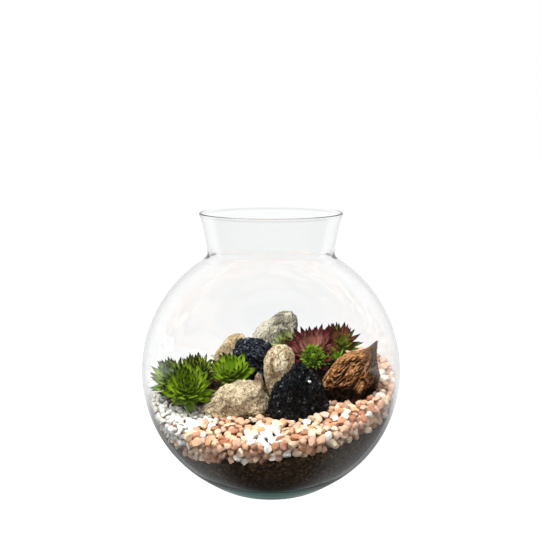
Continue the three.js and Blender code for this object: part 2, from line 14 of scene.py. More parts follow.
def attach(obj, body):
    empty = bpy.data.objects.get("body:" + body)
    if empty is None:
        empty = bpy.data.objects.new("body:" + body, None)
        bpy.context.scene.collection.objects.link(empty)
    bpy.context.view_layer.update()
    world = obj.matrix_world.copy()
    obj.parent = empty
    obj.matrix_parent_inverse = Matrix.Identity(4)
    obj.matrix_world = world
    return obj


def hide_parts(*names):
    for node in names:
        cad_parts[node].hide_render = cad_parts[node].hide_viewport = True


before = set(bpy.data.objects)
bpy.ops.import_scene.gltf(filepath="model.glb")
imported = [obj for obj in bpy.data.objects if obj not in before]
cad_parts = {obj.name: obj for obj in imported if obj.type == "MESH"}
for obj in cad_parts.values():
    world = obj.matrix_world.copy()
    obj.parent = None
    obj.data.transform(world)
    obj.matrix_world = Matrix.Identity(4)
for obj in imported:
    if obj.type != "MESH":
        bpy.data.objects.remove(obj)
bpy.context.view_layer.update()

bl_info = {
    "name": "Planted glass bowl",
    "version": (1, 0, 0),
    "blender": (4, 5, 0),
    "location": "View3D > Sidebar > Terrarium",
    "description": "Dresses the packed model of a glass plant terrarium",
    "category": "Object",
}

MM = 0.001
UP = Vector((0, 0, 1))
GOLDEN_ANGLE = math.radians(137.508)
CRUMB_SEED, GRAVEL_SEED, LAVA_PEBBLE_SEED, LEAF_SEED = 5, 21, 8, 100


# ---- the shape of the glass and of the ground, as in the model ----
BELLY_Z = 117.5 * MM
BOWL_RADIUS = 125 * MM
UPPER_HALF_HEIGHT = 127 * MM
LOWER_HALF_HEIGHT = 123 * MM
BOWL_HEIGHT = 271.4 * MM
BASE_RADIUS = 38 * MM
FLOOR_Z = 6 * MM
WALL = 3 * MM
FOOT_Z = BELLY_Z - 98 * MM
SHOULDER_Z = BELLY_Z + 106 * MM
COLLAR_Z = BELLY_Z + 116 * MM
FLARE_Z = 249 * MM
NECK_RADIUS = 60.9 * MM
RIM_RADIUS = 68.9 * MM
NECK_WALL = 2.6 * MM
GROUND_Z = 98 * MM  # the planted surface at the middle
RISE_TO_BACK, RISE_TO_RIGHT = 0.19, 0.1
MOUND_X, MOUND_Y, MOUND_WIDTH, MOUND_HEIGHT = 46 * MM, 16 * MM, 30 * MM, 9 * MM
GRAVEL_EDGE = 9 * MM  # thickness of the gravel at its inner edge
OVAL_X, OVAL_Y = -4 * MM, 9 * MM  # middle of the oval of bare soil
OVAL_HALF_X, OVAL_HALF_Y = 101 * MM, 61 * MM
WHITE_SIZE = 0.76  # of a white pebble, as a share of a pink one
WHITE_FROM = math.radians(112.5)
WHITE_TO = math.radians(225)
HANDFUL = (-8 * MM, -98 * MM, 144 * MM)  # middle of the handful of white pebbles, with its height times HANDFUL_FLAT
HANDFUL_FLAT = 1.8


def surface_at(x, y):
    """Height of the planted surface and of the gravel, which rises to the back, to the right and at the sides."""
    return GROUND_Z + RISE_TO_BACK * y + RISE_TO_RIGHT * x + 9 * MM * (x / (120 * MM)) ** 2


def mound_at(x, y):
    """Height of the soil that is heaped under the purple plants."""
    away = ((x - MOUND_X) ** 2 + (y - MOUND_Y) ** 2) / MOUND_WIDTH**2
    return MOUND_HEIGHT * np.exp(-away)


def gravel_depth_at(share, x, y):
    """Thickness of the gravel, from its inner edge, at share 1, out to the glass, at share 2."""
    corner = np.exp(-(((x + 75 * MM) / (45 * MM)) ** 2) - ((y + 80 * MM) / (45 * MM)) ** 2)
    at_glass = (20 + 8 * (x / (115 * MM)) ** 2 + 6 * corner) * MM
    return GRAVEL_EDGE + (at_glass - GRAVEL_EDGE) * np.clip((share - 1) * 1.4, 0, 1)


def soil_top_at(share, x, y):
    """Height of the soil: bare out to share 1, and under the gravel beyond it."""
    bare = surface_at(x, y) + mound_at(x, y) - 1 * MM
    return np.where(share <= 1, bare, surface_at(x, y) - gravel_depth_at(share, x, y))


def room_radius(z, clearance):
    """Radius of the room inside the glass at a height on the ball."""
    rise = z - BELLY_Z
    half_height = np.where(rise < 0, LOWER_HALF_HEIGHT, UPPER_HALF_HEIGHT) - WALL - clearance
    return (BOWL_RADIUS - WALL - clearance) * np.sqrt(np.maximum(0, 1 - (rise / half_height) ** 2))


def share_at(x, y):
    """How far out a point of the ground lies: 1 on the edge of the bare soil's oval, more outside it."""
    return np.hypot((x - OVAL_X) / OVAL_HALF_X, (y - OVAL_Y) / OVAL_HALF_Y)


def ground_point(share, angle, radius):
    """A point of the ground: from the oval's middle to its edge at share 1, and on to a radius at share 2."""
    edge_x = OVAL_X + OVAL_HALF_X * np.cos(angle)
    edge_y = OVAL_Y + OVAL_HALF_Y * np.sin(angle)
    inside, outside = np.minimum(share, 1), np.clip(share - 1, 0, 1)
    x = OVAL_X + (edge_x - OVAL_X) * inside + (radius * np.cos(angle) - edge_x) * outside
    y = OVAL_Y + (edge_y - OVAL_Y) * inside + (radius * np.sin(angle) - edge_y) * outside
    return x, y


def is_white(x, y):
    """Whether a point of the ring lies in the white gravel's share of it."""
    angle = math.atan2(y, x) % (2 * math.pi)
    ragged = 0.09 * noise.noise(Vector((x, y, 0)) / (14 * MM))
    return WHITE_FROM < angle + ragged < WHITE_TO


def gravel_is_white(x, y, z):
    """Whether a pebble is one of the white gravel, which is a layer that lies on a little of the pink."""
    ragged = 4 * MM * noise.noise(Vector((x, y, z)) / (9 * MM))
    inside = math.hypot(x, y) < room_radius(z, 9 * MM)
    return is_white(x, y) and (inside or z > surface_at(x, y) - 17 * MM + ragged)


def tint_of(point, white, draw):
    """A pebble's place in the colours of its gravel: the pink one has single white pebbles and a handful of them."""
    x, y, z = point
    handful = math.exp(-(math.dist((x, y, HANDFUL_FLAT * z), HANDFUL) ** 2) / (17 * MM) ** 2)
    if not white and draw.random() < 0.06 + 1.6 * handful:
        return draw.uniform(0.93, 1.0)
    return 0.1 + (0.88 if white else 0.8) * draw.random()


# ---- modelling ----
def deselect():
    bpy.ops.object.select_all(action="DESELECT")


def pick(piece):
    """Selects one piece alone and makes it the active one."""
    deselect()
    piece.select_set(True)
    bpy.context.view_layer.objects.active = piece


def named(name):
    """Names the object that the last operator added."""
    piece = bpy.context.object
    piece.name = name
    piece.data.name = name
    return piece


@contextmanager
def editing(piece):
    """Edit mode on one piece, with all of it selected."""
    pick(piece)
    bpy.ops.object.mode_set(mode="EDIT")
    bpy.ops.mesh.select_all(action="SELECT")
    try:
        yield
    finally:
        bpy.ops.object.mode_set(mode="OBJECT")


def bend(start, corner, end, steps):
    """Points of a smooth bend from start to end, pulled towards a corner."""
    start, corner, end = (Vector(point) for point in (start, corner, end))
    return [start.lerp(corner, i / steps).lerp(corner.lerp(end, i / steps), i / steps) for i in range(steps + 1)]


def ball_arc(depth, low, high, steps):
    """Points of the ball's outline between two heights, moved in from the outside by a depth."""

    def half_height(rise):
        return (LOWER_HALF_HEIGHT if rise < 0 else UPPER_HALF_HEIGHT) - depth

    first, last = (math.asin((z - BELLY_Z) / half_height(z - BELLY_Z)) for z in (low, high))
    angles = [first + (last - first) * i / steps for i in range(steps + 1)]
    return [
        Vector(((BOWL_RADIUS - depth) * math.cos(a), BELLY_Z + half_height(a) * math.sin(a)))
        for a in angles
    ]


def spun(name, outline, steps, start=0.0, angle=2 * math.pi):
    """Turns an outline of (radius, height) points about the upright axis into a closed skin."""
    deselect()
    bpy.ops.mesh.primitive_plane_add(size=MM)
    piece = named(name)
    with editing(piece):
        bpy.ops.mesh.merge(type="CENTER")
        points = [Vector((r * math.cos(start), r * math.sin(start), z)) for r, z in outline]
        bpy.ops.transform.translate(value=points[0])
        for here, there in zip(points, points[1:]):
            bpy.ops.mesh.extrude_region_move(TRANSFORM_OT_translate={"value": there - here})
        bpy.ops.mesh.select_all(action="SELECT")
        bpy.ops.mesh.spin(steps=steps, angle=angle, center=(0, 0, 0), axis=(0, 0, 1))
        bpy.ops.mesh.select_all(action="SELECT")
        bpy.ops.mesh.remove_doubles(threshold=MM / 1000)
        bpy.ops.mesh.fill_holes(sides=0)
        bpy.ops.mesh.normals_make_consistent(inside=False)
    return piece


def corners_of(piece, key="co"):
    """The piece's vertices as three columns or, with the key "normal", the way out of the skin at each."""
    flat = np.empty(3 * len(piece.data.vertices))
    piece.data.vertices.foreach_get(key, flat)
    return flat.reshape(-1, 3)


def faces_of(piece):
    return [list(face.vertices) for face in piece.data.polygons]


def reshape(piece, corners):
    """Moves the piece's vertices."""
    piece.data.vertices.foreach_set("co", np.ascontiguousarray(corners, dtype=float).ravel())
    piece.data.update()


def store(piece, name, values):
    """Keeps a number for each vertex, for the piece's material to read."""
    attribute = piece.data.attributes.new(name, "FLOAT", "POINT")
    attribute.data.foreach_set("value", np.asarray(values, dtype=np.float32))


def shown(name, mesh):
    """A new piece that shows a mesh."""
    mesh.name = name
    piece = bpy.data.objects.new(name, mesh)
    bpy.context.scene.collection.objects.link(piece)
    return piece


def built(name, corners, faces, values):
    """A piece from blocks of vertices and a list of faces. values holds a number for each vertex, under the name of
    its attribute."""
    mesh = bpy.data.meshes.new(name)
    mesh.from_pydata(np.concatenate(corners), [], faces)
    piece = shown(name, mesh)
    for attribute, numbers in values.items():
        store(piece, attribute, numbers)
    return piece


def apply_modifier(piece, kind, **settings):
    """Adds a modifier, sets it and applies it."""
    pick(piece)
    modifier = piece.modifiers.new(kind.lower(), kind)
    for key, value in settings.items():
        setattr(modifier, key, value)
    bpy.ops.object.modifier_apply(modifier=modifier.name)


def copy_of(node, name):
    """A copy of a solid of the model, with its loose triangles merged into one skin."""
    piece = shown(name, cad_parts[node].data.copy())
    piece.data.materials.clear()
    with editing(piece):
        bpy.ops.mesh.customdata_custom_splitnormals_clear()
        bpy.ops.mesh.remove_doubles(threshold=MM / 100)
    return piece


def fine_copy_of(node, name, levels, rounds):
    """A copy of a solid that is finely divided, with its edges worn round a little."""
    piece = copy_of(node, name)
    apply_modifier(piece, "SUBSURF", subdivision_type="SIMPLE", levels=levels, render_levels=levels)
    apply_modifier(piece, "SMOOTH", factor=0.5, iterations=rounds)
    return piece


def smooth(piece, angle=None):
    """Smooth shading, all over or up to an angle between faces."""
    pick(piece)
    if angle is None:
        bpy.ops.object.shade_smooth()
    else:
        bpy.ops.object.shade_smooth_by_angle(angle=angle)


def fused(name, shapes, places, values):
    """One piece of many copies: each place names a shape and holds the matrix that puts a copy of it there. values
    holds, under each attribute's name, a number for each copy."""
    meshes = [(corners_of(shape), faces_of(shape)) for shape in shapes]
    corners, faces, owners = [], [], []
    first = 0
    for owner, (kind, matrix) in enumerate(places):
        own_corners, own_faces = meshes[kind]
        turned = own_corners @ np.array(matrix.to_3x3()).T + np.array(matrix.translation)
        corners.append(turned)
        faces.extend([first + corner for corner in face] for face in own_faces)
        owners.append(np.full(len(turned), owner))
        first += len(turned)
    owners = np.concatenate(owners)
    return built(name, corners, faces, {key: np.asarray(numbers)[owners] for key, numbers in values.items()})


def discard(*pieces):
    for piece in pieces:
        bpy.data.objects.remove(piece)


def keep(piece, material, slot, *nodes):
    """Gives a finished piece its material and its place in the model."""
    piece.data.materials.clear()
    piece.data.materials.append(material)
    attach(piece, "root")
    if nodes:
        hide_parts(*nodes)


# ---- materials ----
class Socket:
    """A node's output that takes part in sums: each operator adds the Math node that works it out."""

    def __init__(self, finish, socket):
        self.finish = finish
        self.socket = socket

    def math(self, operation, *values, clamp=False):
        settings = {"operation": operation, "use_clamp": clamp}
        return self.finish.add("ShaderNodeMath", settings, dict(enumerate(values)))[0]

    def __add__(self, other):
        return self.math("ADD", self, other)

    __radd__ = __add__

    def __sub__(self, other):
        return self.math("SUBTRACT", self, other)

    def __rsub__(self, other):
        return self.math("SUBTRACT", other, self)

    def __mul__(self, other):
        return self.math("MULTIPLY", self, other)

    __rmul__ = __mul__

    def clamped(self):
        return self.math("ADD", self, 0, clamp=True)

    def between(self, low, high):
        """0 below low, 1 above high and a smooth step between them. With low above high it falls instead."""
        settings = {"interpolation_type": "SMOOTHSTEP"}
        return self.finish.add("ShaderNodeMapRange", settings, {0: self, 1: low, 2: high})[0]


class Finish:
    """A material whose nodes are added one expression at a time."""

    def __init__(self, name, tree=None):
        if tree is None:
            self.material = bpy.data.materials.new(name)
            self.material.use_nodes = True
            tree = self.material.node_tree
        self.tree = tree
        self.tree.nodes.clear()

    def add(self, kind, settings=None, sockets=None):
        """Adds a node: its settings come first, then the value or link of each socket. Returns its outputs."""
        node = self.tree.nodes.new(kind)
        for key, value in (settings or {}).items():
            if key == "stops":
                self.set_stops(node.color_ramp, value)
            else:
                setattr(node, key, value)
        for key, value in (sockets or {}).items():
            if isinstance(value, Socket):
                self.tree.links.new(value.socket, node.inputs[key])
            else:
                node.inputs[key].default_value = value
        return [Socket(self, output) for output in node.outputs if output.enabled]

    @staticmethod
    def set_stops(ramp, stops):
        while len(ramp.elements) < len(stops):
            ramp.elements.new(1)
        for element, (position, colour) in zip(ramp.elements, stops):
            element.position = position
            element.color = colour

    def place(self, turn=(0, 0, 0), scale=(1, 1, 1)):
        """The piece's own coordinates, in metres, turned and scaled."""
        position = self.add("ShaderNodeTexCoord")[3]
        if turn == (0, 0, 0) and scale == (1, 1, 1):
            return position
        return self.add("ShaderNodeMapping", None, {"Vector": position, "Rotation": turn, "Scale": scale})[0]

    def light_path(self, output):
        return self.add("ShaderNodeLightPath")[output]

    def mirrored(self):
        """1 for light that a mirror-like surface has sent on, and 0 for all other light."""
        depth = self.light_path(11)
        return depth.math("GREATER_THAN", depth, 0.5)

    def height(self):
        """The height above the base."""
        return self.add("ShaderNodeSeparateXYZ", None, {0: self.place()})[2]

    def across(self):
        """The distance to the right of the middle."""
        return self.add("ShaderNodeSeparateXYZ", None, {0: self.place()})[0]

    def noise(self, grain, detail=4.0, roughness=0.55, place=None, distortion=0.0):
        """A cloudy pattern from 0 to 1 with features of a size in metres."""
        sockets = {"Vector": place or self.place(), "Scale": 1 / grain, "Detail": detail}
        return self.add("ShaderNodeTexNoise", None, sockets | {"Roughness": roughness, "Distortion": distortion})[0]

    def cells(self, grain):
        """Cells of a size in metres: the distance to a cell's middle, and a random colour for each cell."""
        return self.add("ShaderNodeTexVoronoi", None, {"Vector": self.place(), "Scale": 1 / grain})

    def attribute(self, name):
        return self.add("ShaderNodeAttribute", {"attribute_name": name})[2]

    def ramp(self, factor, *stops):
        """A colour from stops of (position, colour)."""
        settings = {"stops": [(position, rgb(colour)) for position, colour in stops]}
        return self.add("ShaderNodeValToRGB", settings, {0: factor})[0]

    def mix(self, factor, first, second, blend="MIX"):
        """Two colours mixed, each a hex number, a colour setting or a socket."""
        first, second = (c if isinstance(c, Socket) else rgb(c) for c in (first, second))
        settings = {"data_type": "RGBA", "blend_type": blend}
        return self.add("ShaderNodeMix", settings, {0: factor, 6: first, 7: second})[0]

    def grey(self, colour):
        """One of a colour's channels, as a number."""
        return self.add("ShaderNodeSeparateColor", None, {0: colour})[0]

    def bump(self, height, depth):
        """A normal from a height of 0 to 1 that stands for a depth in metres."""
        return self.add("ShaderNodeBump", None, {"Height": height, "Distance": depth, "Strength": 1.0})[0]

    def shader(self, **sockets):
        named_sockets = {key.replace("_", " "): value for key, value in sockets.items()}
        return self.add("ShaderNodeBsdfPrincipled", None, named_sockets)[0]

    def show(self, shader, kind="ShaderNodeOutputMaterial"):
        self.add(kind, None, {0: shader})
        return getattr(self, "material", None)


def rgb(colour):
    """A hex number as the linear colour that Blender works in. A colour setting is linear already."""
    if not isinstance(colour, int):
        return (*colour, 1.0)
    parts = ((colour >> 16 & 255) / 255, (colour >> 8 & 255) / 255, (colour & 255) / 255)
    linear = [c / 12.92 if c <= 0.04045 else ((c + 0.055) / 1.055) ** 2.4 for c in parts]
    return (*linear, 1.0)


# what Blender shows a length or a colour setting as
LENGTH = {"unit": "LENGTH", "subtype": "DISTANCE"}
COLOUR = {"subtype": "COLOR", "size": 3}


# ---- glass ----
def glass_finish(look):
    """Clear glass, greener where it is thick: at the base and where it is seen edge on. Its emission paints a teal
    glow on the base, on a band just above it and on its lower edges, a painted glow though the glass is no lamp. It
    lets light through to what stands in it."""
    finish = Finish("clear_glass")
    height = finish.height()
    facing = finish.add("ShaderNodeLayerWeight", None, {"Blend": 0.35})[1]
    edge = facing.between(0.55, 1.0)
    body = finish.mix(edge, look.clear, look.edge)
    foot = height.between(16 * MM, 3 * MM)
    colour = finish.mix(foot, body, look.foot)
    # painted glow: the base, a band over it and the lower edges seen edge on give off light by themselves
    band = height.between(6 * MM, 7.5 * MM) * height.between(10.5 * MM, 9 * MM)
    brim = height.between(40 * MM, 12 * MM) * facing.between(0.35, 0.9)
    painted_glow = finish.mix((foot * 0.12 + band * 0.8 + brim * 0.3).clamped(), 0x000000, look.painted_glow)
    glass = finish.shader(
        Base_Color=colour,
        Roughness=0.0,
        IOR=1.48,
        Transmission_Weight=1.0,
        Emission_Color=painted_glow,
        Emission_Strength=1.0,
    )
    clear = finish.add("ShaderNodeBsdfTransparent")[0]
    shadow = finish.light_path(1)
    mixed = finish.add("ShaderNodeMixShader", None, {0: shadow, 1: glass, 2: clear})[0]
    return finish.show(mixed)


def bowl_outline():
    """The glass's outline: up its outside, over the rounded lip and down its inside."""
    ball = ball_arc(0, FOOT_Z, SHOULDER_Z, 46)
    inner = ball_arc(WALL, FOOT_Z + 6 * MM, SHOULDER_Z, 46)
    neck, rim, top = NECK_RADIUS, RIM_RADIUS, BOWL_HEIGHT
    inner_neck = neck - NECK_WALL
    inner_rim = rim - NECK_WALL - 0.6 * MM
    collar, inner_collar = (neck, COLLAR_Z), (inner_neck, COLLAR_Z)
    return [
        Vector((0, 0)),
        Vector((BASE_RADIUS * 0.6, 0)),
        *bend((BASE_RADIUS, 0), (BASE_RADIUS + 11 * MM, 0.6 * MM), ball[0], 8),
        *ball[1:],
        *bend(ball[-1], (neck, COLLAR_Z - 5 * MM), collar, 8)[1:],
        *bend(collar, (neck + 1.4 * MM, FLARE_Z), (rim - 0.4 * MM, top - 2 * MM), 12)[1:],
        *bend((rim - 0.1 * MM, top - 1.4 * MM), (rim, top), (rim - 1.4 * MM, top), 4),
        *bend((rim - 2.0 * MM, top), (inner_rim + 0.1 * MM, top), (inner_rim, top - 1.4 * MM), 4),
        *bend((inner_rim - 0.2 * MM, top - 2.4 * MM), (inner_neck + 1.4 * MM, FLARE_Z), inner_collar, 12),
        *bend(inner_collar, (inner_neck, COLLAR_Z - 6 * MM), inner[-1], 8)[1:],
        *inner[-2:0:-1],
        *bend(inner[0], (BASE_RADIUS + 15 * MM, FLOOR_Z + 0.6 * MM), (BASE_RADIUS, FLOOR_Z), 8),
        Vector((BASE_RADIUS * 0.6, FLOOR_Z)),
        Vector((0, FLOOR_Z)),
    ]


class GlassLook(bpy.types.PropertyGroup):
    sides: IntProperty(name="Sides", description="Facets round the bowl", default=160, min=24, max=320)
    clear: FloatVectorProperty(
        name="Clear", description="Colour of the thin glass", default=(0.9911, 1.0, 1.0), **COLOUR
    )
    edge: FloatVectorProperty(
        name="Edge", description="Colour of the glass seen edge on", default=(0.9734, 0.9823, 0.9734), **COLOUR
    )
    foot: FloatVectorProperty(
        name="Foot", description="Colour of the thick base", default=(0.1301, 0.2384, 0.2195), **COLOUR
    )
    # painted glow: light that the thick base gives off by itself, though it is no lamp
    painted_glow: FloatVectorProperty(
        name="Gathered", description="Light that the thick base gathers", default=(0.0452, 0.0802, 0.0723), **COLOUR
    )


class TERRARIUM_OT_glass(bpy.types.Operator):
    """Blow the clear bowl with its flared collar"""

    bl_idname = "terrarium.glass"
    bl_label = "Glass bowl"

    def execute(self, context):
        look = context.scene.terrarium_glass
        bowl = spun("bowl_of_clear_glass", bowl_outline(), look.sides)
        smooth(bowl, math.radians(50))
        keep(bowl, glass_finish(look), "glass", "glass_bowl")
        return {"FINISHED"}


# ---- soil ----
def soil_finish():
    """Dark crumbly soil with amber and tan specks, redder towards the bottom."""
    finish = Finish("potting_soil")
    crumbs = finish.cells(2.6 * MM)
    fine = finish.noise(3.0 * MM, 6, 0.85)
    broad = finish.noise(16 * MM, 3)
    tone = (2.1 * fine + 0.3 * finish.grey(crumbs[1]) + 0.3 * broad - 0.86).clamped()
    colour = finish.ramp(tone, (0.1, 0x0E0905), (0.35, 0x2A1E12), (0.6, 0x4B3824), (0.95, 0x8A6E4C))
    low = finish.height().between(62 * MM, 8 * MM)
    colour = finish.mix(low * 0.5, colour, 0x45220F)
    specks = finish.noise(2.2 * MM, 3, 0.75)
    colour = finish.mix(specks.between(0.63, 0.68) * 0.9, colour, finish.mix(crumbs[0], 0xA87C48, 0xD8BC90))
    normal = finish.bump(crumbs[0] * -0.8 + fine * 0.5, 1.4 * MM)
    return finish.show(finish.shader(Base_Color=colour, Roughness=0.92, Normal=normal, Specular_IOR_Level=0.25))


def soil_outline():
    """The soil's outline in plain numbers: radius 0 to 1 along the glass, then back over the top at height 1."""
    skin = [(i / 40, 0.0) for i in range(41)]
    top = [(1 - i / 40, 1.0) for i in range(1, 41)]
    return [*skin, *top]


def room_outline(clearance, steps):
    """Heights and radii of the room's outline from the middle of the floor up the ball."""
    ball = ball_arc(WALL + clearance, FOOT_Z + 6 * MM, BELLY_Z + 60 * MM, steps)
    floor = FLOOR_Z + clearance
    foot = bend((BASE_RADIUS, floor), (BASE_RADIUS + 15 * MM, floor + 0.6 * MM), ball[0], 8)
    return np.array([(0, floor), *map(tuple, foot), *map(tuple, ball[1:])])


def soil_line(angle, clearance):
    """Height of the soil's top edge on the glass."""
    z = np.full_like(angle, 70 * MM)
    for _ in range(6):
        radius = room_radius(z, clearance)
        z = soil_top_at(2.0, radius * np.cos(angle), radius * np.sin(angle))
    return z


def pour_soil(piece, clearance):
    """Lays the spun skin against the glass up to the soil line, and its top over the ground."""
    x, y, level = corners_of(piece).T
    angle = np.arctan2(y, x)
    way = np.hypot(x, y)
    line = soil_line(angle, clearance)
    outline = room_outline(clearance, 60)
    lengths = np.concatenate([[0], np.cumsum(np.hypot(*np.diff(outline, axis=0).T))])
    reach = np.interp(line, outline[:, 1], lengths)
    radius = np.interp(way * reach, lengths, outline[:, 0])
    height = np.interp(way * reach, lengths, outline[:, 1])
    top_x, top_y = ground_point(2 * way, angle, room_radius(line, clearance))
    rough = [noise.fractal(Vector(p) / (7 * MM), 0.6, 2.2, 4) for p in zip(top_x, top_y, 0 * top_x)]
    top = soil_top_at(2 * way, top_x, top_y) + 0.9 * MM * np.array(rough) * np.clip(2 - 2 * way, 0, 1)
    on_top = level > 0.5
    corners = np.where(
        on_top[:, None],
        np.column_stack([top_x, top_y, top]),
        np.column_stack([radius * np.cos(angle), radius * np.sin(angle), height]),
    )
    reshape(piece, corners)


CRUMB_SHAPES = 4


class SoilLook(bpy.types.PropertyGroup):
    crumbs: IntProperty(name="Crumbs", description="Loose crumbs on the bare soil", default=1500, min=0, max=4000)
    crumb_size: FloatProperty(name="Crumb size", description="Length of a crumb", default=2.6 * MM, **LENGTH)


class TERRARIUM_OT_soil(bpy.types.Operator):
    """Fill the bowl with a bank of potting soil and strew crumbs over it"""

    bl_idname = "terrarium.soil"
    bl_label = "Soil"

    def execute(self, context):
        look = context.scene.terrarium_soil
        soil = spun("bank_of_soil", soil_outline(), 144)
        pour_soil(soil, 0.4 * MM)
        with editing(soil):
            bpy.ops.mesh.remove_doubles(threshold=MM / 1000)
            bpy.ops.mesh.normals_make_consistent(inside=False)
        smooth(soil, math.radians(60))
        finish = soil_finish()
        keep(soil, finish, "soil", "soil")

        draw = random.Random(CRUMB_SEED)
        chips = [chip(draw, look.crumb_size) for _ in range(CRUMB_SHAPES)]
        candidates = []
        for _ in range(look.crumbs * 3):
            share, angle = math.sqrt(draw.random()) * 1.04, draw.uniform(0, 2 * math.pi)
            x, y = ground_point(share, angle, BOWL_RADIUS)
            candidates.append((x, y, float(soil_top_at(min(share, 1.0), x, y)) + 0.3 * MM))
        places = []
        for point in spread(candidates, look.crumb_size * 0.62)[: look.crumbs]:
            turn = Euler([draw.uniform(0, 6.28) for _ in range(3)]).to_matrix().to_4x4()
            kind, scale = draw.randrange(CRUMB_SHAPES), Matrix.Scale(draw.uniform(0.5, 1.2), 4)
            places.append((kind, Matrix.Translation(point) @ turn @ scale))
        crumbs = fused("crumbs_of_soil", chips, places, {})
        discard(*chips)
        keep(crumbs, finish, "soil")
        return {"FINISHED"}


# ---- gravel ----
def chip(draw, size, rounds=1):
    """A chipped pebble about its own middle: a small ball with flat sides cut into it."""
    deselect()
    bpy.ops.mesh.primitive_ico_sphere_add(subdivisions=rounds, radius=size / 2)
    piece = named("chip")
    with editing(piece):
        for _ in range(4 + 2 * rounds):
            side = Vector([draw.gauss(0, 1) for _ in range(3)]).normalized()
            bpy.ops.mesh.select_all(action="SELECT")
            bpy.ops.mesh.bisect(
                plane_co=side * size * draw.uniform(0.28, 0.42), plane_no=side, use_fill=True, clear_outer=True
            )
        bpy.ops.mesh.select_all(action="SELECT")
        bpy.ops.mesh.remove_doubles(threshold=size / 25)
        bpy.ops.mesh.quads_convert_to_tris()
        bpy.ops.mesh.normals_make_consistent(inside=False)
    return piece


def spread(candidates, spacing):
    """The candidates that keep their distance to those taken before them."""
    cells, taken = {}, []
    for point in candidates:
        i, j, k = (int(c // spacing) for c in point)
        near = (
            other
            for a in (i - 1, i, i + 1)
            for b in (j - 1, j, j + 1)
            for c in (k - 1, k, k + 1)
            for other in cells.get((a, b, c), ())
        )
        if all(math.dist(point, other) >= spacing for other in near):
            cells.setdefault((i, j, k), []).append(point)
            taken.append(point)
    return taken


def pebble_finish(name, vein, stain, *stops):
    """Tumbled stone: each pebble has its own colour, with a little mottling and a soft polish."""
    finish = Finish(name)
    tint = finish.attribute("tint")
    colour = finish.ramp(tint, *stops)
    veins = finish.noise(3.2 * MM, 5, 0.6, distortion=0.6)
    colour = finish.mix(veins.between(0.5, 0.75) * 0.35, colour, vein)
    colour = finish.mix(finish.noise(1.6 * MM, 3).between(0.55, 0.75) * 0.35, colour, stain, "MULTIPLY")
    normal = finish.bump(finish.noise(0.8 * MM, 4), 0.25 * MM)
    rough = 0.42 + 0.25 * veins
    return finish.show(finish.shader(Base_Color=colour, Roughness=rough, Normal=normal))


ON_GLASS = 9000  # tries for a pebble against the glass, and again for one behind those
ON_TOP = 16000  # tries for one over the top
TOP_FULL = 17000  # from this many on, those over the top lie under the first
PEBBLE_SHAPES = 8
RING_RADIUS = 118 * MM  # that the tries over the top reach out to
SECOND_LAYER = 4.6 * MM  # how far those under the first lie below them


def gravel_places(look, draw):
    """Where pebbles lie: against the glass, over the top, and under both as far as one sees in."""
    clear = look.pebble * 0.42
    facings = {}

    def foot_at(angle):
        """Height just over the soil's edge on the glass."""
        return float(soil_line(np.array([angle]), clear)[0]) + 1.5 * MM

    def on_ball(angle, z, inset):
        """The point of the glass's inside at an angle and a height, moved in by a distance."""
        radius = float(room_radius(z, inset))
        return radius * math.cos(angle), radius * math.sin(angle)

    for _ in range(ON_GLASS):
        angle = draw.uniform(0, 2 * math.pi)
        share = draw.random() ** 0.8
        low = foot_at(angle)
        high = float(surface_at(*on_ball(angle, low + 12 * MM, clear))) - clear
        z = low + (high - low) * share
        facings[(*on_ball(angle, z, clear), z)] = Vector((math.cos(angle), math.sin(angle), 0))
    for _ in range(ON_TOP):  # with a ragged inner edge
        angle = draw.uniform(0, 2 * math.pi)
        radius = RING_RADIUS * math.sqrt(draw.random())
        x, y = radius * math.cos(angle), radius * math.sin(angle)
        ragged = 0.05 * noise.noise(Vector((x, y, 0)) / (16 * MM))
        share = float(share_at(x, y)) + ragged
        if share < (0.84 if is_white(x, y) else 0.99):
            continue
        under = 0 if len(facings) < TOP_FULL else SECOND_LAYER
        z = float(surface_at(x, y)) - clear - under + draw.uniform(-0.7, 0.7) * MM
        if share < 0.97:
            z += 2.2 * MM
        if radius <= float(room_radius(z, clear)):
            facings[(x, y, z)] = UP
    for _ in range(ON_GLASS):
        angle = draw.uniform(0, 2 * math.pi)
        z = foot_at(angle) + 24 * MM * draw.random()
        x, y = on_ball(angle, z, clear + 5 * MM)
        if z < float(surface_at(x, y)) - clear:
            facings[(x, y, z)] = Vector((math.cos(angle), math.sin(angle), 0))
    sorts = {"pink": [], "white": []}
    for point in facings:
        sorts["white" if gravel_is_white(*point) else "pink"].append(point)
    spacing = {"pink": look.spacing, "white": look.spacing * WHITE_SIZE}
    return {sort: [(point, facings[point]) for point in spread(sorts[sort], spacing[sort])] for sort in sorts}


def laid(point, facing, draw, middling):
    """A pebble's place: flat against what it faces, turned and tilted at random and stretched a little."""
    turn = facing.to_track_quat("Z", "Y").to_matrix().to_4x4()
    spin = Euler((draw.gauss(0, 0.35), draw.gauss(0, 0.35), draw.uniform(0, 6.28))).to_matrix().to_4x4()
    size = middling * draw.uniform(0.82, 1.15)
    sides = [size * draw.uniform(*span) for span in ((1.0, 1.35), (0.85, 1.1), (0.62, 0.85))]
    return draw.randrange(PEBBLE_SHAPES), Matrix.Translation(point) @ turn @ spin @ Matrix.Diagonal((*sides, 1))


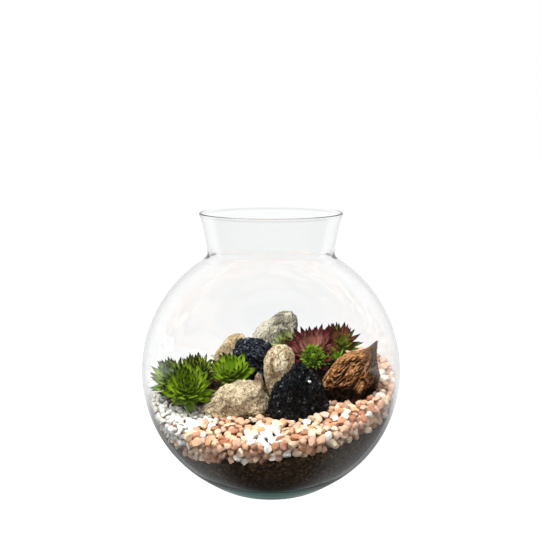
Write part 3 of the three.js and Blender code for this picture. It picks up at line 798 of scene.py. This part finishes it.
def bed(name, start, angle):
    """The gravel's core, under the pebbles: a closed sector of the ring."""
    outline = [
        *((1 + i / 12, 0.0) for i in range(13)),
        *((2.0, i / 4) for i in range(1, 5)),
        *((2 - i / 12, 1.0) for i in range(1, 13)),
        (1.0, 0.0),
    ]
    piece = spun(name, outline, round(math.degrees(angle) / 3), start, angle)
    x, y, level = corners_of(piece).T
    way, share = np.arctan2(y, x), np.hypot(x, y)
    clearance = 3.4 * MM
    z = np.full_like(x, 85 * MM)
    for _ in range(6):
        at_x, at_y = ground_point(share, way, room_radius(z, clearance))
        low = soil_top_at(np.maximum(share, 1.001), at_x, at_y) + 0.4 * MM
        high = surface_at(at_x, at_y) - 5.0 * MM
        z = low + (high - low) * level
    reshape(piece, np.column_stack([at_x, at_y, z]))
    return piece


# colours of the veins, of the stains and of the pebbles, then where the bed starts and how far round it goes; the
# stop at 0, darker, colours the bed as painted shade in the gaps between the pebbles
GRAVELS = {
    "pink": (
        0xF1E2D2, 0xC98E6C,
        [
            (0.0, 0x86634E), (0.1, 0x9C6E56), (0.2, 0xBE8260), (0.3, 0xDCC2A4), (0.4, 0xC0957A), (0.5, 0xE4CEB2),
            (0.6, 0xD29C70), (0.7, 0xC99E88), (0.8, 0xEADAC2), (0.9, 0xC88C68), (0.93, 0xD2CCC0), (1.0, 0xF2EFE8),
        ],
        WHITE_TO - 2 * math.pi, 2 * math.pi - (WHITE_TO - WHITE_FROM),
    ),
    "white": (
        0xFFFFFF, 0xB8B4A8,
        [(0.0, 0x7E7A70), (0.1, 0xC6C4BC), (0.5, 0xDCDAD2), (1.0, 0xEFEEEA)],
        WHITE_FROM, WHITE_TO - WHITE_FROM,
    ),
}


class GravelLook(bpy.types.PropertyGroup):
    pebble: FloatProperty(name="Pebble", description="Middling size of a pebble", default=8.6 * MM, **LENGTH)
    spacing: FloatProperty(
        name="Spacing", description="Least distance between pebbles' middles", default=5.8 * MM, **LENGTH
    )


class TERRARIUM_OT_gravel(bpy.types.Operator):
    """Pour the ring of pink and white gravel between the plants and the glass"""

    bl_idname = "terrarium.gravel"
    bl_label = "Gravel"

    def execute(self, context):
        look = context.scene.terrarium_gravel
        draw = random.Random(GRAVEL_SEED)
        finishes = {}
        for sort, (vein, stain, stops, start, angle) in GRAVELS.items():
            finishes[sort] = pebble_finish(sort + "_pebbles", vein, stain, *stops)
            core = bed(f"bed_of_{sort}_gravel", start + 0.01, angle - 0.02)
            # tint 0 gives the bed its gravel's darkest colour, painted shade in the gaps between the pebbles
            store(core, "tint", np.zeros(len(core.data.vertices)))
            smooth(core)
            keep(core, finishes[sort], sort + "_gravel")
        shapes = [chip(draw, look.pebble, 2) for _ in range(PEBBLE_SHAPES)]
        for sort, found in gravel_places(look, draw).items():
            white = sort == "white"
            places = [laid(point, facing, draw, WHITE_SIZE if white else 1.0) for point, facing in found]
            tints = [tint_of(point, white, draw) for point, _ in found]
            pebbles = fused(sort + "_pebbles", shapes, places, {"tint": tints})
            smooth(pebbles, math.radians(28))
            keep(pebbles, finishes[sort], sort + "_gravel", sort + "_gravel")
        discard(*shapes)
        return {"FINISHED"}


# ---- stones ----
def roughen(piece, grain, depth, kind="CLOUDS", **settings):
    """Pushes the skin in and out by one of Blender's own patterns, with features of a size."""
    pattern = bpy.data.textures.new(piece.name, kind)
    for key, value in {"noise_scale": grain, **settings}.items():
        setattr(pattern, key, value)
    apply_modifier(piece, "DISPLACE", texture=pattern, strength=depth, mid_level=0.5, texture_coords="LOCAL")
    bpy.data.textures.remove(pattern)


def stone_finish(name, tones, grain, streaks=None, side=None):
    """Weathered stone: mottled, stained and full of dark specks. streaks is the colour of stains that run down it,
    and side is a colour that the stone's left side takes."""
    light, middle, dark, speck = tones
    finish = Finish(name)
    place = finish.place(scale=(1, 1, 0.3)) if streaks else None
    broad = finish.noise(14 * MM, 4, 0.6, place, 0.4)
    mottle = finish.noise(grain, 6, 0.78, place, 0.3)
    specks = finish.noise(2.0 * MM, 5, 0.85)
    colour = finish.ramp(
        (0.45 * broad + 0.55 * mottle).between(0.3, 0.68), (0.0, dark), (0.4, middle), (0.75, light), (1.0, light)
    )
    if side is not None:
        colour = finish.mix((finish.across() + 20 * MM * mottle).between(12 * MM, -4 * MM) * 0.85, colour, side)
    if streaks:
        colour = finish.mix(finish.noise(4.5 * MM, 6, 0.8, place, 1.2).between(0.5, 0.62) * 0.75, colour, streaks)
    colour = finish.mix(specks.between(0.52, 0.57) * 0.9, colour, speck)
    colour = finish.mix(specks.between(0.43, 0.36) * 0.6, colour, light)
    normal = finish.bump(mottle * 0.7 - specks * 0.6, 2.2 * MM)
    return finish.show(finish.shader(Base_Color=colour, Roughness=0.88, Normal=normal, Specular_IOR_Level=0.25))


# Of each stone's shape, worn: how often the edges are smoothed; rough: the size and the depth of the humps, coarse to
# fine; ridges: how high the ridges stand; undercut: the height below which the stone draws back. Then its looks, with
# the tones light, middle, dark and speck.
STONES = {
    "front_boulder": (
        {"worn": 5, "rough": [(16, 4.0), (5, 1.6), (2.0, 1.0)], "ridges": 2.4, "undercut": 103},
        {"tones": (0xDCCAA8, 0xA8967A, 0x6E5F4A, 0x30261A), "grain": 3.2 * MM},
    ),
    "standing_stone": (
        {"worn": 22, "rough": [(13, 1.8), (3.6, 1.2), (1.6, 0.8)], "ridges": 0.2},
        {"tones": (0xEEDFC2, 0xB9A27C, 0x745A3A, 0x46321E), "grain": 3.4 * MM, "streaks": 0x5E4226},
    ),
    "back_rock": (
        {"worn": 14, "rough": [(14, 3.6), (4.5, 1.4), (1.8, 0.8)], "ridges": 0.6},
        {"tones": (0xBAB39E, 0x7C7666, 0x454137, 0x1E1D1A), "grain": 3.4 * MM, "side": 0xCFC8B6},
    ),
    "back_small_stone": (
        {"worn": 16, "rough": [(12, 3.2), (4, 1.4), (1.8, 0.6)], "ridges": 0.6},
        {"tones": (0xD8C6A4, 0xA8906C, 0x70603F, 0x46371F), "grain": 3.4 * MM},
    ),
    "small_brown_stone": (
        {"worn": 60, "rough": [(6, 1.6), (2.4, 0.8)], "ridges": 0.4},
        {"tones": (0xC8AC8E, 0x8E735A, 0x4E3A2C, 0x2A1D15), "grain": 2.5 * MM},
    ),
}


def weathered(node, weathering, worn, rough, ridges, undercut=None):
    """A stone of the model with its edges worn, its skin roughened and ridges on it."""
    piece = fine_copy_of(node, "weathered_" + node, 4, worn)
    if undercut is not None:
        corners = corners_of(piece)
        ragged = np.array([4 * MM * noise.noise(Vector((x, 0, 0)) / (16 * MM)) for x in corners[:, 0]])
        corners[:, 1] += 0.22 * np.maximum(0, undercut * MM + ragged - corners[:, 2])
        reshape(piece, corners)
    for grain, depth in rough:
        roughen(piece, grain * MM, depth * MM * weathering, noise_depth=3)
    pattern = {"musgrave_type": "RIDGED_MULTIFRACTAL", "lacunarity": 2.4}
    roughen(piece, 15 * MM, ridges * MM * weathering, "MUSGRAVE", **pattern)
    smooth(piece)
    return piece


class StoneLook(bpy.types.PropertyGroup):
    weathering: FloatProperty(
        name="Weathering", description="Share of the full depth of the humps and dents", default=1.0, min=0, max=2
    )


class TERRARIUM_OT_stones(bpy.types.Operator):
    """Weather the five plain stones"""

    bl_idname = "terrarium.stones"
    bl_label = "Stones"

    def execute(self, context):
        look = context.scene.terrarium_stones
        for node, (shape, looks) in STONES.items():
            piece = weathered(node, look.weathering, **shape)
            keep(piece, stone_finish("stone_" + node, **looks), "tan_stone", node)
        return {"FINISHED"}


# ---- lava rocks ----
def lava_finish(name, dark, middle, light):
    """Black glassy froth: dull in its pores, greyer on the edges between them, with a few painted glints: pale specks
    in its colour that stand in for highlights.
    """
    finish = Finish(name)
    pores = finish.cells(2.6 * MM)
    small = finish.cells(1.3 * MM)
    fine = finish.noise(1.6 * MM, 5, 0.8)
    edge = (0.6 * pores[0] + 0.4 * small[0]).between(0.3, 0.85)
    tone = (edge * 0.7 + fine.between(0.5, 0.68) * 0.55).clamped()
    colour = finish.ramp(tone, (0.0, dark), (0.45, middle), (1.0, light))
    # painted glint: sparse pale specks that stand in for highlights
    painted_glint = finish.grey(finish.cells(1.6 * MM)[1]).between(0.94, 0.96) * fine.between(0.48, 0.58)
    colour = finish.mix(painted_glint * 0.8, colour, 0xA4A9B2)
    normal = finish.bump(pores[0] * 0.7 + small[0] * 0.4, 2.0 * MM)
    rough = 0.85 - 0.35 * edge
    return finish.show(finish.shader(Base_Color=colour, Roughness=rough, Normal=normal, Specular_IOR_Level=0.35))


PEAK_X = 27 * MM  # that the front rock's point leans to
PEAK_FROM, PEAK_HEIGHT = 114 * MM, 20 * MM
CAUGHT_AT = (36 * MM, 123 * MM)  # to the right and up, where a white pebble lies on it


class LavaLook(bpy.types.PropertyGroup):
    pore: FloatProperty(name="Pore", description="Size of a large pore", default=6.5 * MM, **LENGTH)
    depth: FloatProperty(name="Depth", description="Depth of the large pores", default=4.2 * MM, **LENGTH)


class TERRARIUM_OT_lava(bpy.types.Operator):
    """Open the pores of the two lava rocks"""

    bl_idname = "terrarium.lava"
    bl_label = "Lava rocks"

    def execute(self, context):
        look = context.scene.terrarium_lava
        for node, tones in (
            ("front_lava_rock", (0x020203, 0x0C0D0F, 0x2C2E32)),
            ("back_lava_rock", (0x08090D, 0x20242D, 0x5C626E)),
        ):
            piece = fine_copy_of(node, "porous_" + node, 4, 8)
            if node == "front_lava_rock":
                corners = corners_of(piece)
                peak = np.clip((corners[:, 2] - PEAK_FROM) / PEAK_HEIGHT, 0, 1)
                corners[:, 0] += (PEAK_X - corners[:, 0]) * 0.55 * peak
                reshape(piece, corners)
            roughen(piece, 15 * MM, 5 * MM, noise_depth=2)
            roughen(piece, look.pore, look.depth, "VORONOI", distance_metric="DISTANCE", noise_intensity=1.2)
            roughen(piece, look.pore * 0.45, look.depth * 0.5, "VORONOI", distance_metric="DISTANCE")
            roughen(piece, look.pore * 0.25, look.depth * 0.2)
            smooth(piece)
            keep(piece, lava_finish("lava_" + node, *tones), "lava_rock", node)
            if node == "front_lava_rock":
                self.drop_pebble(corners_of(piece))
        return {"FINISHED"}

    @staticmethod
    def drop_pebble(corners):
        """Leaves a small white pebble on the side of the rock."""
        near = corners[np.hypot(corners[:, 0] - CAUGHT_AT[0], corners[:, 2] - CAUGHT_AT[1]) < 2 * MM]
        shape = chip(random.Random(LAVA_PEBBLE_SEED), 3.8 * MM, 2)
        place = Matrix.Translation(near[np.argmin(near[:, 1])])
        pebble = fused("pebble_on_lava", [shape], [(0, place)], {"tint": [0.25]})
        discard(shape)
        keep(pebble, bpy.data.materials["white_pebbles"], "white_gravel")


# ---- driftwood ----
def wood_finish():
    """Weathered wood: bright worn ridges and dark grooves, partly its worn grain and partly painted shade in the
    grooves and the hollow, and a nearly black underside and right side, which are painted shade.
    """
    finish = Finish("driftwood")
    ridge = finish.attribute("ridge")
    along = finish.place(turn=(0, math.radians(-48), 0), scale=(0.1, 1, 1))
    fibres = finish.noise(1.4 * MM, 5, 0.75, along, 0.6)
    broad = finish.noise(11 * MM, 4)
    tone = (0.55 * ridge + 1.6 * fibres + 0.45 * broad - 0.88).clamped()
    colour = finish.ramp(
        tone, (0.1, 0x1A0F08), (0.28, 0x432917), (0.46, 0x784C2C), (0.64, 0xA47449), (0.82, 0xCDA679)
    )
    # painted shade: the lower part and the right side are darkened
    low = (finish.height() + 26 * MM * broad).between(127 * MM, 119 * MM)
    painted_shade_right = (finish.across() + 16 * MM * broad).between(92 * MM, 104 * MM)
    colour = finish.mix((low * 0.94 + painted_shade_right * 0.7).clamped(), colour, 0x2A1D14, "MULTIPLY")
    normal = finish.bump(fibres, 1.5 * MM)
    return finish.show(finish.shader(Base_Color=colour, Roughness=0.82, Normal=normal, Specular_IOR_Level=0.12))


HOLLOW = (75 * MM, -45 * MM, 109 * MM)  # middle of the small hollow in the front of the wood
HOLLOW_RADIUS, HOLLOW_DEPTH = 6 * MM, 3 * MM
GRAIN = Vector((-0.62, -0.1, -0.78)).normalized()  # the way the grain runs, down from the tip


class WoodLook(bpy.types.PropertyGroup):
    pitch: FloatProperty(name="Pitch", description="Distance between the ridges", default=2.5 * MM, **LENGTH)
    depth: FloatProperty(name="Depth", description="Depth of the grooves", default=2.2 * MM, **LENGTH)


class TERRARIUM_OT_driftwood(bpy.types.Operator):
    """Carve wavy ridges into the driftwood, along its grain"""

    bl_idname = "terrarium.driftwood"
    bl_label = "Driftwood"

    def execute(self, context):
        look = context.scene.terrarium_wood
        piece = fine_copy_of("driftwood", "grained_driftwood", 3, 3)
        corners = corners_of(piece)
        tip = Vector(corners[np.argmax(corners[:, 2] + 0.3 * corners[:, 0])])
        along = (corners - np.array(tip)) @ np.array(GRAIN)
        axis = np.array(tip) + along[:, None] * np.array(GRAIN)
        corners = axis + (corners - axis) * np.clip(0.12 + along / (24 * MM), 0.12, 1)[:, None]
        corners -= np.array(GRAIN) * 3 * MM * np.clip(1 - along / (20 * MM), 0, 1)[:, None]
        ridges = []
        for corner in corners:
            point = Vector(corner) + 2.0 * MM * noise.noise_vector(Vector(corner) / (18 * MM))
            along = (point - tip).dot(GRAIN)
            across = (point - tip - along * GRAIN) / (0.35 + max(0, along) / (55 * MM))
            stretched = across / look.pitch + GRAIN * along / (44 * MM)
            value = 1 - abs(noise.noise(stretched)) * 2.4
            fine = noise.noise(2.7 * across / look.pitch + GRAIN * along / (26 * MM))
            ridges.append(max(0.0, min(1.0, value + 0.3 * fine)))
        # the hollow is dented and its ridge value set to 0, which darkens its colour as painted shade
        hollow = np.clip(1.3 - np.linalg.norm(corners - np.array(HOLLOW), axis=1) / HOLLOW_RADIUS, 0, 1)
        ridges = np.array(ridges) * (1 - hollow)
        depth = (ridges - 0.75) * look.depth - HOLLOW_DEPTH * hollow
        reshape(piece, corners + corners_of(piece, "normal") * depth[:, None])
        store(piece, "ridge", ridges)
        roughen(piece, 1.6 * MM, 0.4 * MM, noise_depth=2)
        smooth(piece)
        keep(piece, wood_finish(), "driftwood", "driftwood")
        return {"FINISHED"}


# ---- houseleek rosettes ----
# Each row: kind, heart, axis, reach, leaves, width, open, closed, short. heart is in millimetres, and reach is the
# length of the outermost leaf, in millimetres too. width is a leaf's share of its reach. open and closed are the
# degrees that the outermost and the innermost leaf stand up, and short is what the innermost lacks of its length.
ROSETTES = {
    "green_rosette_left": ("green", (-94, -10, 109), (-0.25, -0.65, 0.9), 28, 80, 0.28, -4, 84, 0.2),
    "green_rosette_front": ("green", (-79, -28, 104), (0.05, -0.75, 0.8), 32, 76, 0.29, 2, 72, 0.2),
    "dark_tipped_rosette": ("dark_tipped", (-73, 12, 111), (0, -0.5, 1), 25, 80, 0.28, 0, 84, 0.2),
    "bright_green_rosette": ("bright", (-37, -8, 114), (-0.15, -0.7, 0.8), 28, 34, 0.36, 12, 66, 0.2),
    "purple_rosette": ("purple", (41, 12, 132), (-0.1, -0.7, 0.75), 34, 84, 0.27, 8, 56, 0.34),
    "red_rosette": ("red", (67, 28, 137), (0, -0.6, 0.8), 26, 84, 0.27, 8, 58, 0.34),
    "small_green_rosette": ("heart", (63, 2, 127), (-0.1, -0.8, 0.7), 15, 80, 0.24, 2, 84, 0.42),
    "light_green_rosette": ("pale", (14, 28, 138), (-0.1, -0.3, 1), 18, 44, 0.28, 2, 84, 0.42),
    "purple_rosette_heart": ("heart", (41, -3, 130), (0, -0.9, 0.6), 15.5, 170, 0.27, 6, 84, 0.3),
    "red_rosette_heart": ("red_heart", (69, 12, 140), (-0.05, -0.95, 0.6), 13, 90, 0.24, 14, 80, 0.4),
}
WITHERED = 34  # leaves round the stem under a rosette
LEAF_THICKNESS = 0.34  # as a share of its width
# base, middle and tip of an outer leaf, then of an inner one. The darker bases are partly the leaves' own green and
# partly painted shade in the gaps between leaves; the nearly black bases of the hearts are painted shade.
LEAF_COLOURS = {
    "green": (0x3A5A08, 0x7C9C18, 0x101208, 0x94B424, 0x9CB830, 0x1A1E0A),
    "dark_tipped": (0x526E12, 0x8C9A30, 0x14100A, 0x889C2C, 0x9AA83C, 0x18140E),
    "bright": (0x365408, 0x72901A, 0x101806, 0x84A220, 0x90AE2A, 0x222E08),
    "purple": (0x4A4A1E, 0x6C2A28, 0x200810, 0x8A8440, 0xA87064, 0x44141A),
    "red": (0x5A6A24, 0x6A3222, 0x200A0A, 0x86923E, 0x8A5A40, 0x30120E),
    "pale": (0x74804A, 0x949C60, 0x3E3C2A, 0x9CA468, 0xAAB070, 0x4E4A30),
    "heart": (0x142806, 0x42680E, 0x86AA30, 0x1E3C08, 0x648E1A, 0xAAC648),
    "red_heart": (0x243008, 0x5A6A1A, 0x6A3C1E, 0x2E480C, 0x7A9A2A, 0xA89A48),
}


def leaf_finish(name, colours, green=None):
    """A waxy leaf: green at the base, its own colour in the middle and a dark tip, paler towards the heart. Its edges
    are paler near their widest part as a painted highlight. Where a green is given, one leaf in five is all green."""
    finish = Finish(name)
    along = finish.attribute("along")
    age = finish.attribute("age")
    tone = finish.attribute("tone")
    mottle = finish.noise(2.4 * MM, 4)
    way = (along + 0.1 * mottle - 0.05).clamped()
    outer, inner = (
        finish.ramp(way, (0.12, base), (0.42, middle), (0.68, middle), (0.9, tip))
        for base, middle, tip in (colours[:3], colours[3:])
    )
    colour = finish.mix(age.between(0.1, 0.85), outer, inner)
    # painted highlight: paler edges near the leaf's widest part
    painted_edge_highlight = finish.attribute("side").between(0.55, 0.95) * way.between(0.85, 0.6)
    colour = finish.mix(painted_edge_highlight * 0.35, colour, colours[4])
    if green is not None:
        colour = finish.mix(tone.between(0.78, 0.8) * along.between(0.9, 0.8), colour, green)
    colour = finish.mix(tone * 0.35, colour, 0x2E3A18, "MULTIPLY")
    dry = finish.ramp((along + 0.6 * mottle - 0.3).clamped(), (0.1, 0x1C150C), (0.5, 0x4A3A22), (0.9, 0x8A7450))
    colour = finish.mix(age.between(-0.3, -0.9), colour, dry)
    normal = finish.bump(finish.noise(1.2 * MM, 3), 0.2 * MM)
    return finish.show(
        finish.shader(
            Base_Color=colour,
            Roughness=0.5,
            Normal=normal,
            Subsurface_Weight=0.12,
            Subsurface_Radius=(0.4 * MM, 1.0 * MM, 0.2 * MM),
            Subsurface_Scale=1.0,
            Specular_IOR_Level=0.15,
        )
    )


def leaf():
    """A pointed fleshy leaf along +X, one long: hollowed a little above, keeled below, widest past its middle."""
    stations = [(0.0, 0.4, 0.6), (0.15, 0.58, 0.8), (0.32, 0.82, 1.0), (0.5, 1.0, 1.0), (0.62, 0.94, 0.9)]
    stations += [(0.74, 0.72, 0.72), (0.84, 0.45, 0.5), (0.93, 0.2, 0.28), (1.0, 0.02, 0.04)]
    deselect()
    bpy.ops.mesh.primitive_circle_add(vertices=10, radius=0.5, fill_type="NGON", rotation=(0, math.pi / 2, 0))
    piece = named("leaf")
    bpy.ops.object.transform_apply(location=False, rotation=True, scale=False)
    with editing(piece):
        for (here, _, _), (there, _, _) in zip(stations, stations[1:]):
            bpy.ops.mesh.extrude_region_move(TRANSFORM_OT_translate={"value": (there - here, 0, 0)})
        bpy.ops.mesh.select_all(action="SELECT")
        bpy.ops.mesh.normals_make_consistent(inside=False)
    corners = corners_of(piece)
    along = corners[:, 0].copy()
    width = np.interp(along, [s[0] for s in stations], [s[1] for s in stations])
    thick = np.interp(along, [s[0] for s in stations], [s[2] for s in stations])
    side, up = 2 * corners[:, 1], 2 * corners[:, 2]
    above = np.where(up > 0, 0.35 * up, up) + 0.55 * side**2 * np.clip(1.2 - along, 0, 1)
    reshape(piece, np.column_stack([along, 0.5 * side * width, 0.5 * above * thick]))
    return piece


def rosette(node, shape, draw, heart, axis, reach, leaves, width, open, closed, short):
    """The leaves of one rosette, outermost first, each a copy of the leaf that is sized, bent up and set in place,
    and the stem under it, clad in withered ones."""
    base, faces = corners_of(shape), faces_of(shape)
    facing = UP.rotation_difference(Vector(axis).normalized())
    middle = Vector(heart) * MM
    reach = reach * MM
    corners, skin, values = [], [], {"along": [], "side": [], "age": [], "tone": []}

    def grow(start, facing, around, rise, length, broad, curl, age):
        """One leaf, bent up along its length; an age below 0 is a withered one."""
        angle = curl * base[:, 0]
        bow = length * np.sinc(angle / (2 * np.pi)) * base[:, 0]
        thick = LEAF_THICKNESS * broad * base[:, 2]
        local_x = bow * np.cos(angle / 2) - thick * np.sin(angle)
        local_z = bow * np.sin(angle / 2) + thick * np.cos(angle)
        local = np.column_stack([local_x, broad * base[:, 1], local_z])
        turn = facing @ Matrix.Rotation(around, 3, "Z") @ Matrix.Rotation(0.3 * curl - rise, 3, "Y")
        skin.extend([corner + len(corners) * len(base) for corner in face] for face in faces)
        corners.append(inside_glass(local @ np.array(turn).T + np.array(start)))
        values["along"].append(base[:, 0])
        # how far out across the leaf, for the painted highlight on its edges
        values["side"].append(2 * np.abs(base[:, 1]))
        values["age"].append(np.full(len(base), age))
        values["tone"].append(np.full(len(base), draw.random()))

    for i in range(leaves):
        age = i / (leaves - 1)
        rise = math.radians(open + (closed - open) * age**0.75 + draw.gauss(0, 3.5))
        length = reach * (1 - short * age**1.3) * draw.uniform(0.88, 1.04)
        broad = reach * width * (1 - 0.45 * age)
        curl = math.radians(26 + 24 * age)
        around = i * GOLDEN_ANGLE + draw.gauss(0, 0.06)
        start = middle + facing @ (UP * reach * (0.16 * age - 0.1))
        grow(start, facing.to_matrix(), around, rise, length, broad, curl, age)
    if not node.endswith("heart"):
        top = middle + facing @ (UP * reach * -0.1)
        stem = top.z + 3 * MM - surface_at(*top.xy) - mound_at(*top.xy)
        for i in range(WITHERED):
            start = top - UP * stem * i / WITHERED
            rise = math.radians(draw.uniform(-68, -45))
            length = draw.uniform(8, 11) * MM
            grow(start, Matrix.Identity(3), i * GOLDEN_ANGLE, rise, length, 6.5 * MM, math.radians(16), -1)
    return built("leaves_of_" + node, corners, skin, {key: np.concatenate(parts) for key, parts in values.items()})


def inside_glass(corners):
    """Presses what would touch the glass back from it."""
    x, y, z = corners.T
    radius = np.maximum(np.hypot(x, y), MM)
    pressed = np.minimum(1, room_radius(z, 1.2 * MM) / radius)
    return np.column_stack([x * pressed, y * pressed, z])


class TERRARIUM_OT_rosettes(bpy.types.Operator):
    """Grow the houseleek rosettes leaf by leaf"""

    bl_idname = "terrarium.rosettes"
    bl_label = "Rosettes"

    def execute(self, context):
        shape = leaf()
        finishes = {
            name: leaf_finish("leaf_" + name, colours, 0x66842A if name == "red" else None)
            for name, colours in LEAF_COLOURS.items()
        }
        for number, (node, (kind, *plant)) in enumerate(ROSETTES.items()):
            piece = rosette(node, shape, random.Random(LEAF_SEED + number), *plant)
            smooth(piece)
            keep(piece, finishes[kind], "purple_leaf" if kind in ("purple", "red") else "green_leaf", node)
        discard(shape)
        return {"FINISHED"}


# ---- stage ----
class StageLook(bpy.types.PropertyGroup):
    key: FloatProperty(name="Key light", description="Power of the overhead softbox in watts", default=34)
    sides: FloatProperty(name="Side lights", description="Power of each softbox at the sides in watts", default=6)
    fill: FloatProperty(name="Fill", description="Strength of the light from all round", default=0.2)


def softbox(name, place, aim, size, power):
    """A rectangular light that is itself out of sight, also in reflections."""
    deselect()
    bpy.ops.object.light_add(type="AREA", location=place)
    light = bpy.context.object
    light.name = name
    light.data.shape = "RECTANGLE"
    light.data.size, light.data.size_y = size
    light.data.energy = power
    light.rotation_euler = (Vector(aim) - Vector(place)).to_track_quat("-Z", "Y").to_euler()
    light.visible_camera = False
    light.visible_transmission = False
    light.visible_glossy = False


CAMERA_PLACE = (0, -1.15, 0.3773)
CAMERA_DOWN = 8.05  # degrees that the camera looks down
CAMERA_LENS = 80.22  # millimetres, on a sensor that is 36 wide
SEEN_THROUGH_GLASS = 0.93  # brightness of the room behind the glass
FLOOR_THROUGH_GLASS = 1.06  # and of the floor
MIRRORED_FRONT = 0.03  # and of the room on the camera's side, as the glass mirrors it
MIRRORED_BACK = 0.9  # and of the backdrop


def surroundings(fill):
    """A white backdrop and a dim room before it, as the glass shows them, with soft light from all round."""
    world = bpy.data.worlds.new("studio")
    bpy.context.scene.world = world
    world.use_nodes = True
    finish = Finish("studio", world.node_tree)
    by_camera, by_diffuse, by_reflection, by_transmission = (finish.light_path(i) for i in (0, 2, 5, 6))
    mirrored = finish.mirrored()
    to_back = finish.add("ShaderNodeSeparateXYZ", None, {0: finish.add("ShaderNodeTexCoord")[0]})[1]
    mirrored_room = MIRRORED_FRONT + to_back.between(-0.2, 0.75) * (MIRRORED_BACK - MIRRORED_FRONT)
    in_mirror = (by_reflection - by_diffuse).clamped() + by_transmission * mirrored
    strength = (
        fill
        + by_camera * (1 - fill)
        + by_transmission * (1 - mirrored) * (SEEN_THROUGH_GLASS - fill)
        + in_mirror * (mirrored_room - fill)
    )
    room = finish.add("ShaderNodeBackground", None, {"Color": (1, 1, 1, 1), "Strength": strength})[0]
    finish.show(room, "ShaderNodeOutputWorld")


def floor_finish():
    """A white sheet that is bright by itself, so that the shadow on it stays faint, but lights the bowl only a
    little from below. The glass mirrors it only from behind and from under the bowl."""
    finish = Finish("studio_floor")
    scattered = finish.light_path(10)
    lighting = scattered.math("GREATER_THAN", scattered, 0.5)
    glow = finish.mix(lighting, 0xFFFFFF, 0xA0A0A0)
    bright = finish.shader(Base_Color=rgb(0x808080), Roughness=0.9, Emission_Color=glow, Emission_Strength=1.0)
    mirrored = finish.mirrored()
    place = finish.place()
    across, to_back, _ = finish.add("ShaderNodeSeparateXYZ", None, {0: place})
    away = finish.add("ShaderNodeVectorMath", {"operation": "LENGTH"}, {0: place})[0]
    under = away.between(56 * MM, 44 * MM)
    across = across.math("ABSOLUTE", across)
    beside = (to_back + 0.8 * across).between(-60 * MM, 10 * MM) * away.between(0.5, 0.25)
    behind = 0.5 * to_back.between(0.05, 0.3) + 0.4 * to_back.between(0.12, 0.4)
    in_mirror = 0.02 + 0.2 * beside + behind + 0.1 * under
    strength = in_mirror * mirrored + (1 - mirrored) * (FLOOR_THROUGH_GLASS - 0.6 * lighting)
    plain = finish.add("ShaderNodeEmission", None, {"Color": (1, 1, 1, 1), "Strength": strength})[0]
    through = (mirrored + finish.light_path(6)).clamped()
    return finish.show(finish.add("ShaderNodeMixShader", None, {0: through, 1: bright, 2: plain})[0])


class TERRARIUM_OT_stage(bpy.types.Operator):
    """Set the pale floor, the soft lights and the camera"""

    bl_idname = "terrarium.stage"
    bl_label = "Stage"

    def execute(self, context):
        look = context.scene.terrarium_stage
        deselect()
        bpy.ops.mesh.primitive_circle_add(vertices=64, radius=6, fill_type="NGON", location=(0, 0, -0.3 * MM))
        floor = named("floor")
        bpy.ops.object.transform_apply(location=True, rotation=False, scale=False)
        floor.data.materials.append(floor_finish())
        surroundings(look.fill)
        softbox("overhead", (-0.35, -0.45, 1.25), (0, 0, 0.1), (0.7, 0.7), look.key)
        for side, name in ((-1, "left"), (1, "right")):
            softbox("side_" + name, (0.95 * side, -0.75, 0.7), (0, 0, 0.12), (0.5, 0.8), look.sides)
        bpy.ops.object.camera_add(location=CAMERA_PLACE, rotation=(math.radians(90 - CAMERA_DOWN), 0, 0))
        camera = bpy.context.object
        camera.name = "camera"
        camera.data.sensor_width = 36
        camera.data.lens = CAMERA_LENS
        context.scene.camera = camera
        context.scene.view_settings.view_transform = "Standard"
        return {"FINISHED"}


# ---- the add-on ----
class TERRARIUM_PT_panel(bpy.types.Panel):
    """Lists the steps and their settings"""

    bl_idname = "TERRARIUM_PT_panel"
    bl_label = "Planted glass bowl"
    bl_space_type = "VIEW_3D"
    bl_region_type = "UI"
    bl_category = "Terrarium"

    def draw(self, context):
        for operator in OPERATORS:
            self.layout.operator(operator.bl_idname)
        for name, group in LOOKS.items():
            box = self.layout.box()
            for key in group.__annotations__:
                box.prop(getattr(context.scene, name), key)


LOOKS = {
    "terrarium_glass": GlassLook,
    "terrarium_soil": SoilLook,
    "terrarium_gravel": GravelLook,
    "terrarium_stones": StoneLook,
    "terrarium_lava": LavaLook,
    "terrarium_wood": WoodLook,
    "terrarium_stage": StageLook,
}
OPERATORS = (
    TERRARIUM_OT_glass,
    TERRARIUM_OT_soil,
    TERRARIUM_OT_gravel,
    TERRARIUM_OT_stones,
    TERRARIUM_OT_lava,
    TERRARIUM_OT_driftwood,
    TERRARIUM_OT_rosettes,
    TERRARIUM_OT_stage,
)
CLASSES = (*LOOKS.values(), *OPERATORS, TERRARIUM_PT_panel)


def register():
    for one in CLASSES:
        bpy.utils.register_class(one)
    for name, group in LOOKS.items():
        setattr(bpy.types.Scene, name, PointerProperty(type=group))


def unregister():
    for name in LOOKS:
        delattr(bpy.types.Scene, name)
    for one in reversed(CLASSES):
        bpy.utils.unregister_class(one)


def main():
    register()
    for operator in OPERATORS:
        group, step = operator.bl_idname.split(".")
        getattr(getattr(bpy.ops, group), step)()


if __name__ == "__main__":
    main()
